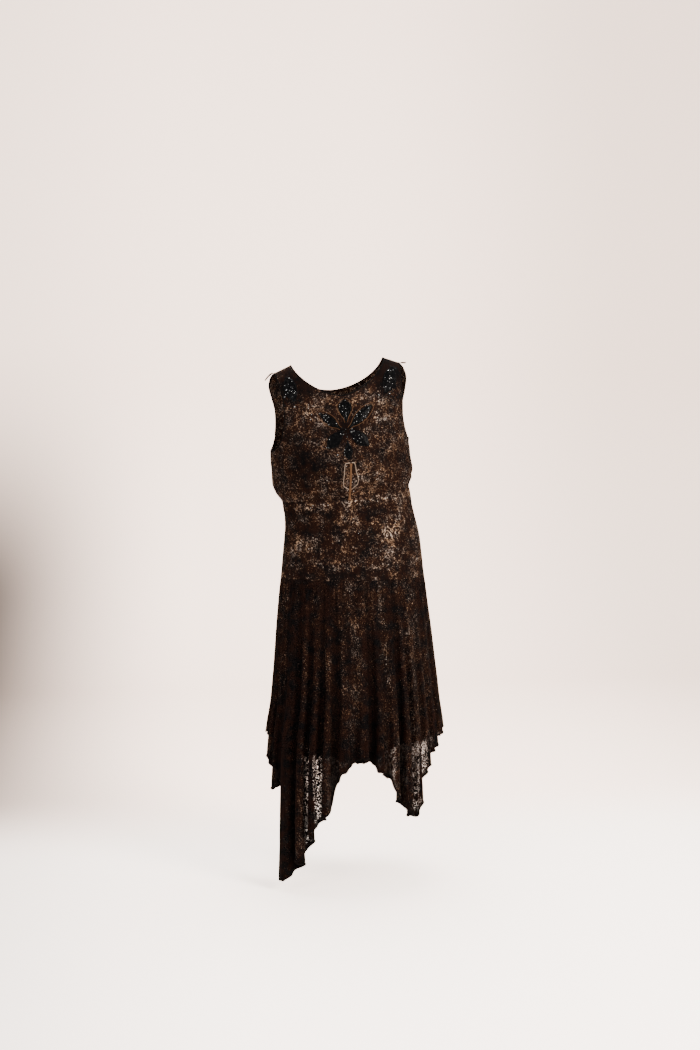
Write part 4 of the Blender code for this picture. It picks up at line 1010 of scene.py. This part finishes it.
# Many beads at once: each the shape scaled to its size and turned into its own frame on the cloth.
def manyBeads(centres, normals, sizes, shape):
    points, faces = shape
    side = np.cross(normals, np.array([0.13, 0.31, 0.94]))
    side /= np.linalg.norm(side, axis=1, keepdims=True)
    other = np.cross(normals, side)
    scaled = points[None, :, :] * sizes[:, None, :]
    frames = np.stack([side, other, normals], axis=1)
    placed = centres[:, None, :] + scaled @ frames
    offsets = np.arange(len(centres))[:, None, None] * len(points)
    return placed.reshape(-1, 3), (faces[None] + offsets).reshape(-1, 3)


# Half the width of a leaf along its run: a swelling sine, never narrower than an eighth.
def leafHalf(run, width, fullest):
    swell = np.sin(math.pi * np.clip(run, 0, 1) ** (math.log(0.5) / math.log(fullest))) ** 0.8
    return np.maximum(0.5 * width * swell, 0.12 * width)


# Beaded leaves on the front: a low pad, and rows of jet beads that stand on it.
def addBeadwork(material):
    bead = dict(pitch=0.0026, radius=0.00115, pad=0.0006, uneven=0.00018)
    for number, (name, base, tip, width, fullest) in enumerate(leaves):
        rng = np.random.default_rng(200 + number)
        base, length, along, over = leafFrame(base, tip)
        run, spread = np.meshgrid(np.linspace(0, 1, 40), np.linspace(-1, 1, 11), indexing="ij")
        half = leafHalf(run, width, fullest)
        spot = base + along * (length * run)[..., None] + over * (half * spread)[..., None]
        ground, normal = onFront(spot[..., 0], spot[..., 1])
        rise = bead["pad"] * (1 - 0.7 * spread**2)
        outer = (ground + normal * (0.0003 + rise)[..., None]).reshape(-1, 3)
        inner = (ground + normal * 0.0002).reshape(-1, 3)
        padPoints, padFaces = shellOf(outer, inner, gridQuads(np.arange(run.size).reshape(run.shape)))

        # Beads lie in staggered rows across the leaf, a little unevenly.
        lines = np.arange(bead["pitch"] / 2, length, bead["pitch"] * 0.88)
        slots = np.arange(-8, 9) * bead["pitch"]
        down, side = np.meshgrid(lines, slots, indexing="ij")
        side = side + (np.arange(len(lines)) % 2)[:, None] * bead["pitch"] / 2
        down, side = down.ravel(), side.ravel()
        kept = np.abs(side) <= leafHalf(down / length, width, fullest) - 0.0002
        down = down[kept] + rng.normal(0, bead["uneven"], kept.sum())
        side = side[kept] + rng.normal(0, bead["uneven"], kept.sum())
        spot = base + along * down[:, None] + over * side[:, None]
        ground, normal = onFront(spot[:, 0], spot[:, 1])
        sizes = bead["radius"] * rng.uniform(0.82, 1.12, (len(down), 1)) * np.array([[1.0, 1.0, 0.9]])
        centres = ground + normal * (0.0003 + bead["pad"] + 0.0006)
        beadPoints, beadFaces = manyBeads(centres, normal, sizes, beadShape(3, 7))
        faces = padFaces.tolist() + (beadFaces + len(padPoints)).tolist()
        tint = np.concatenate([np.full(len(padPoints), 0.1), np.repeat(rng.uniform(0, 1, len(down)), 23)])
        points = np.concatenate([padPoints, beadPoints])
        dress(addMesh(name + "_beads", points, faces, material, {"tint": tint}), "jet", name)


# Couched copper cord round the upper leaves and the tablet: 3.5 mm outside the leaf's half width.
def addOutlines(material):
    cord = dict(radius=0.0007, away=0.0035, lift=0.0006, start=-0.05, past=1.08, tip=0.0015)
    for name, base, tip, width, fullest in (leaves[0], leaves[1], leaves[5]):
        base, length, along, over = leafFrame(base, tip)
        run = np.linspace(cord["start"], 1.0, 44)
        half = leafHalf(run, width, fullest) * smoothStep((run + 0.06) / 0.3) + cord["away"]
        half[-1] = cord["tip"]
        for side in (1.0, -1.0):
            spot = base + along * (length * (run * cord["past"]))[:, None] + over * (side * half)[:, None]
            ground, normal = onFront(spot[:, 0], spot[:, 1])
            piece = addCord("couched_outline_%s_%d" % (name, side), ground + normal * cord["lift"], normal,
                            cord["radius"], 6, False, material)
            dress(piece, "copper")


# The vase outline as two pale gold cords that close at cap and foot, and the copper bar between them.
def addVase(goldMaterial, copperMaterial):
    cord = dict(middle=0.0165, rings=110, radius=0.0010, lift=0.0012, capSwell=0.35, capReach=0.010)
    bar = dict(top=0.258, foot=0.351, radius=0.0027, lift=0.0014, flat=0.6)
    swells = ((0.351, 0.004, 0.0030), (0.260, 0.005, 0.0010), (0.324, 0.003, 0.0008))
    count = np.arange(cord["rings"])
    for side, way in (("right", -1), ("left", 1)):
        reaches, levels = vase[side + "Reach"], vase[side + "Drop"]
        length = np.concatenate([[0.0], np.cumsum(np.hypot(np.diff(reaches), np.diff(levels)))])
        run = np.linspace(0.0, length[-1], cord["rings"])
        x = cord["middle"] + way * smoothThrough(length, reaches, run)
        ground, normal = onFront(x, smoothThrough(length, levels, run))
        radii = cord["radius"] * (1 + 0.16 * np.sin(count * 2 * math.pi / 5))
        radii = radii * (1 + cord["capSwell"] * np.exp(-((run / cord["capReach"]) ** 4)))
        centres = ground + normal * cord["lift"]
        piece = addCord("gold_vase_cord_" + side, centres, normal, radii, 8, False, goldMaterial)
        dress(piece, "copper", "vase_braid_" + side)
    drops = np.linspace(bar["top"], bar["foot"], cord["rings"])
    ground, normal = onFront(cord["middle"] + 0 * drops, drops)
    radii = np.full(cord["rings"], bar["radius"])
    for level, reach, swell in swells:
        radii += swell * np.exp(-(((drops - level) / reach) ** 2))
    radii *= 1 + 0.10 * np.sin(count * 2 * math.pi / 4)
    centres = ground + normal * bar["lift"]
    piece = addCord("copper_vase_bar", centres, normal, radii, 8, False, copperMaterial, bar["flat"])
    dress(piece, "copper", "vase_bar")


# Loose sequins and seed beads: clusters round named places that thin out as a bell, and a few strays.
def addSequins(material):
    sequin = dict(
        small=0.0008, large=0.0015, shoulderRoot=0.34, shoulderShare=1.7, thick=0.32, lift=0.0008, tilt=0.22,
        firstDrop=0.015, lastDrop=0.54, widest=0.148, neckClear=0.006, strapClear=0.004, strapDrop=0.05,
        seamClear=0.004)
    clusters = table("angle drop angleSpread dropSpread count", (
        (44, 0.055, 5, 0.020, 120), (50, 0.100, 6, 0.014, 34), (-44, 0.060, 5, 0.020, 80),
        (-50, 0.105, 6, 0.016, 26), (2, 0.177, 3.6, 0.011, 90), (4, 0.215, 12, 0.020, 30),
        (25, 0.120, 20, 0.022, 24), (-25, 0.125, 20, 0.022, 20), (10, 0.270, 34, 0.040, 20),
        (10, 0.400, 40, 0.050, 26), (140, 0.070, 6, 0.020, 50), (-140, 0.070, 6, 0.020, 50),
    ))
    rng = np.random.default_rng(404)
    places = []
    for angle, drop, angleSpread, dropSpread, count in zip(*clusters.values()):
        number = int(count)
        spot = [rng.normal(angle, angleSpread, number), rng.normal(drop, dropSpread, number)]
        places.append(np.stack(spot, axis=1))
    angle, drop = np.concatenate(places).T
    x = surface(angle, np.sqrt(np.maximum(drop, 0.012)))[:, 0]  # near the shoulder line x hardly changes
    onDress = (drop > sequin["firstDrop"]) & (drop < sequin["lastDrop"]) & (np.abs(x) < sequin["widest"])
    neckDepth = np.where(np.abs(angle) < 90, cut["frontNeckDepth"], cut["backNeckDepth"])
    neckDrop = neckDepth * np.clip(1 - (x / cut["neckHalfWidth"]) ** 2, 0, 1) ** 0.6
    onStrap = np.abs(x) > cut["neckHalfWidth"] + sequin["strapClear"]
    belowNeck = (drop > neckDrop + sequin["neckClear"]) & (onStrap | (drop > sequin["strapDrop"]))
    kept = onDress & belowNeck & (np.abs(drop - cut["waistSeam"]) > sequin["seamClear"])
    angle, root = angle[kept], np.sqrt(drop[kept])
    normal = surfaceNormal(angle, root)
    tilted = normal + rng.normal(0, sequin["tilt"], normal.shape)
    tilted /= np.linalg.norm(tilted, axis=1, keepdims=True)
    across = rng.uniform(sequin["small"], sequin["large"], (len(angle), 1))
    across = across * np.where(root < sequin["shoulderRoot"], sequin["shoulderShare"], 1.0)[:, None]
    sizes = np.concatenate([across, across, across * sequin["thick"]], axis=1)
    centres = surface(angle, root) + normal * sequin["lift"]
    points, faces = manyBeads(centres, tilted, sizes, beadShape(2))
    tint = np.repeat(rng.uniform(0.1, 1.0, len(angle)), 14)
    dress(addMesh("scattered_sequins", points, faces, material, {"tint": tint}, smooth=False), "jet")


# The studio: a pale floor that sweeps up into a plain wall behind.
def addStudio():
    studio = dict(floor=-1.349, front=4.5, back=2.6, bend=1.4, height=4.0, half=7.0, cameraGain=7.0)
    turns = np.linspace(0, math.pi / 2, 24)
    y = np.concatenate([[-studio["front"]], studio["back"] + studio["bend"] * np.sin(turns), [4.0]])
    z = np.concatenate([[0.0], studio["bend"] * (1 - np.cos(turns)), [studio["height"]]]) + studio["floor"]
    across = np.linspace(-studio["half"], studio["half"], 2)
    points = np.stack(np.broadcast_arrays(across, y[:, None], z[:, None]), axis=-1)
    material, shader = newMaterial("matt_paper_sweep")
    place = addNode(material, "TexCoord", {}, "Object")
    spots = addNode(material, "SeparateXYZ", {"Vector": place}, None)
    wall = ranged(material, spots["Y"], 0.20, 0.90, interpolation_type="SMOOTHSTEP")
    colour = mixed(material, wall, rgba("#f0e6de"), rgba("#f0dccf"))
    # Painted shade: the paper darkens to the lower left and to the right of the wall, where the light falls
    # off.
    left, low, right = (
        ranged(material, spots[axis], start, end, least, most, interpolation_type="SMOOTHSTEP")
        for axis, start, end, least, most in (
            ("X", -0.2, -1.3, 0.0, 0.95), ("Z", 0.3, -1.1, 0.15, 1.0), ("X", 0.6, 2.2, 0.0, 0.28))
    )
    paintedShading = maths(material, "MULTIPLY_ADD", left, low, right)
    reach = ranged(material, wall, 0.0, 1.0, 0.45, 1.0)
    paintedShading = maths(material, "MULTIPLY", paintedShading, reach)
    lit = maths(material, "SUBTRACT", 1.0, paintedShading)
    colour = scaled(material, colour, lit)
    # The camera sees overexposed paper, as in a white studio. The dress gets the paper's plain light back.
    seen = addNode(material, "LightPath", {})
    gain = maths(material, "MULTIPLY_ADD", seen, studio["cameraGain"] - 1.0, 1.0)
    bright = scaled(material, colour, gain)
    setInputs(material, shader, {"Base Color": bright, "Roughness": 0.9, "Specular IOR Level": 0.0})
    quads = gridQuads(np.arange(len(y) * 2).reshape(-1, 2))
    sweep = addMesh("paper_sweep", points.reshape(-1, 3), quads.tolist(), material)


# An area light aimed at the middle of the dress.
def addLight(name, place, size, power, colour):
    light = bpy.data.lights.new(name, "AREA")
    light.shape, light.size, light.energy, light.color = "DISK", size, power, rgba(colour)[:3]
    lamp = bpy.data.objects.new(name, light)
    lamp.location = place
    aim = np.array([0.0, 0.0, -0.55]) - np.array(place)
    fall, heading = math.acos(-aim[2] / np.linalg.norm(aim)), math.atan2(aim[1], aim[0])
    lamp.rotation_euler = (fall, 0.0, heading - math.pi / 2)
    bpy.context.scene.collection.objects.link(lamp)


# Camera, soft lights and a pale surrounding.
def addCameraAndLights():
    shot = dict(azimuth=-8.0, distance=3.8, height=-0.106, lens=50.54, tilt=-4.731, pan=-0.505)
    camera = bpy.data.objects.new("camera", bpy.data.cameras.new("camera"))
    camera.data.sensor_fit, camera.data.sensor_height, camera.data.sensor_width = "VERTICAL", 36.0, 36.0
    camera.data.lens = shot["lens"]
    turn = math.radians(shot["azimuth"])
    camera.location = (math.sin(turn) * shot["distance"], -math.cos(turn) * shot["distance"], shot["height"])
    camera.rotation_euler = (math.radians(90 + shot["tilt"]), 0.0, turn + math.radians(shot["pan"]))
    bpy.context.scene.collection.objects.link(camera)
    bpy.context.scene.camera = camera
    addLight("key_right", (2.3, -2.6, 1.3), 1.5, 62.0, "#fff6ee")
    addLight("fill_left", (-2.6, -2.2, 0.4), 2.2, 12.0, "#f7f4fa")
    addLight("top_soft", (0.2, 0.6, 2.6), 2.0, 30.0, "#ffffff")
    world = bpy.data.worlds.new("pale_room")
    world.use_nodes = True
    background = world.node_tree.nodes["Background"]
    background.inputs["Color"].default_value = rgba("#efe9e5")
    background.inputs["Strength"].default_value = 0.70
    bpy.context.scene.world = world


# Prints how far the making has come, with the triangles and area of each piece so far.
def stageDone(name, *starts):
    lines = []
    for piece in bpy.context.scene.objects:
        if piece.type == "MESH" and piece.name.startswith(starts):
            area = sum(face.area for face in piece.data.polygons) / 2
            triangles = sum(len(face.vertices) - 2 for face in piece.data.polygons)
            lines.append("%s %d %.3f m2" % (piece.name, triangles, area))
    print("made", name, *lines, sep="\n  ")


addCameraAndLights()
addStudio()
lace = laceMaterial()
addBodice(lace)
stageDone("bodice", "lace_bodice")
addHipBand(lace)
stageDone("hip band", "lace_hip")
addSkirt(lace)
stageDone("skirt", "lace_skirt")
addSlip(slipMaterial())
stageDone("slip", "satin")
yarn = cordMaterial("black_rolled_binding", "#060505", "#15100f", 900.0)
addBindings(yarn)
addShoulderEnds(yarn)
addHemEdging(cordMaterial("black_hem_cord", "#080505", "#1d1310", 700.0))
stageDone("bindings and hem", "rolled", "loose", "corded")
jet = jetMaterial()
addBeadwork(jet)
addSequins(jet)
stageDone("beads", "bead_", "neck_tablet", "shoulder_leaf", "scattered")
gold = braidMaterial("pale_gold_cord", "#b3937a", "#ead6c2")
addVase(gold, braidMaterial("copper_braid", "#6a4630", "#a97c54"))
addOutlines(braidMaterial("couched_copper_thread", "#4a2f1e", "#9a6d48"))
stageDone("vase and outlines", "gold", "copper_v", "couched")
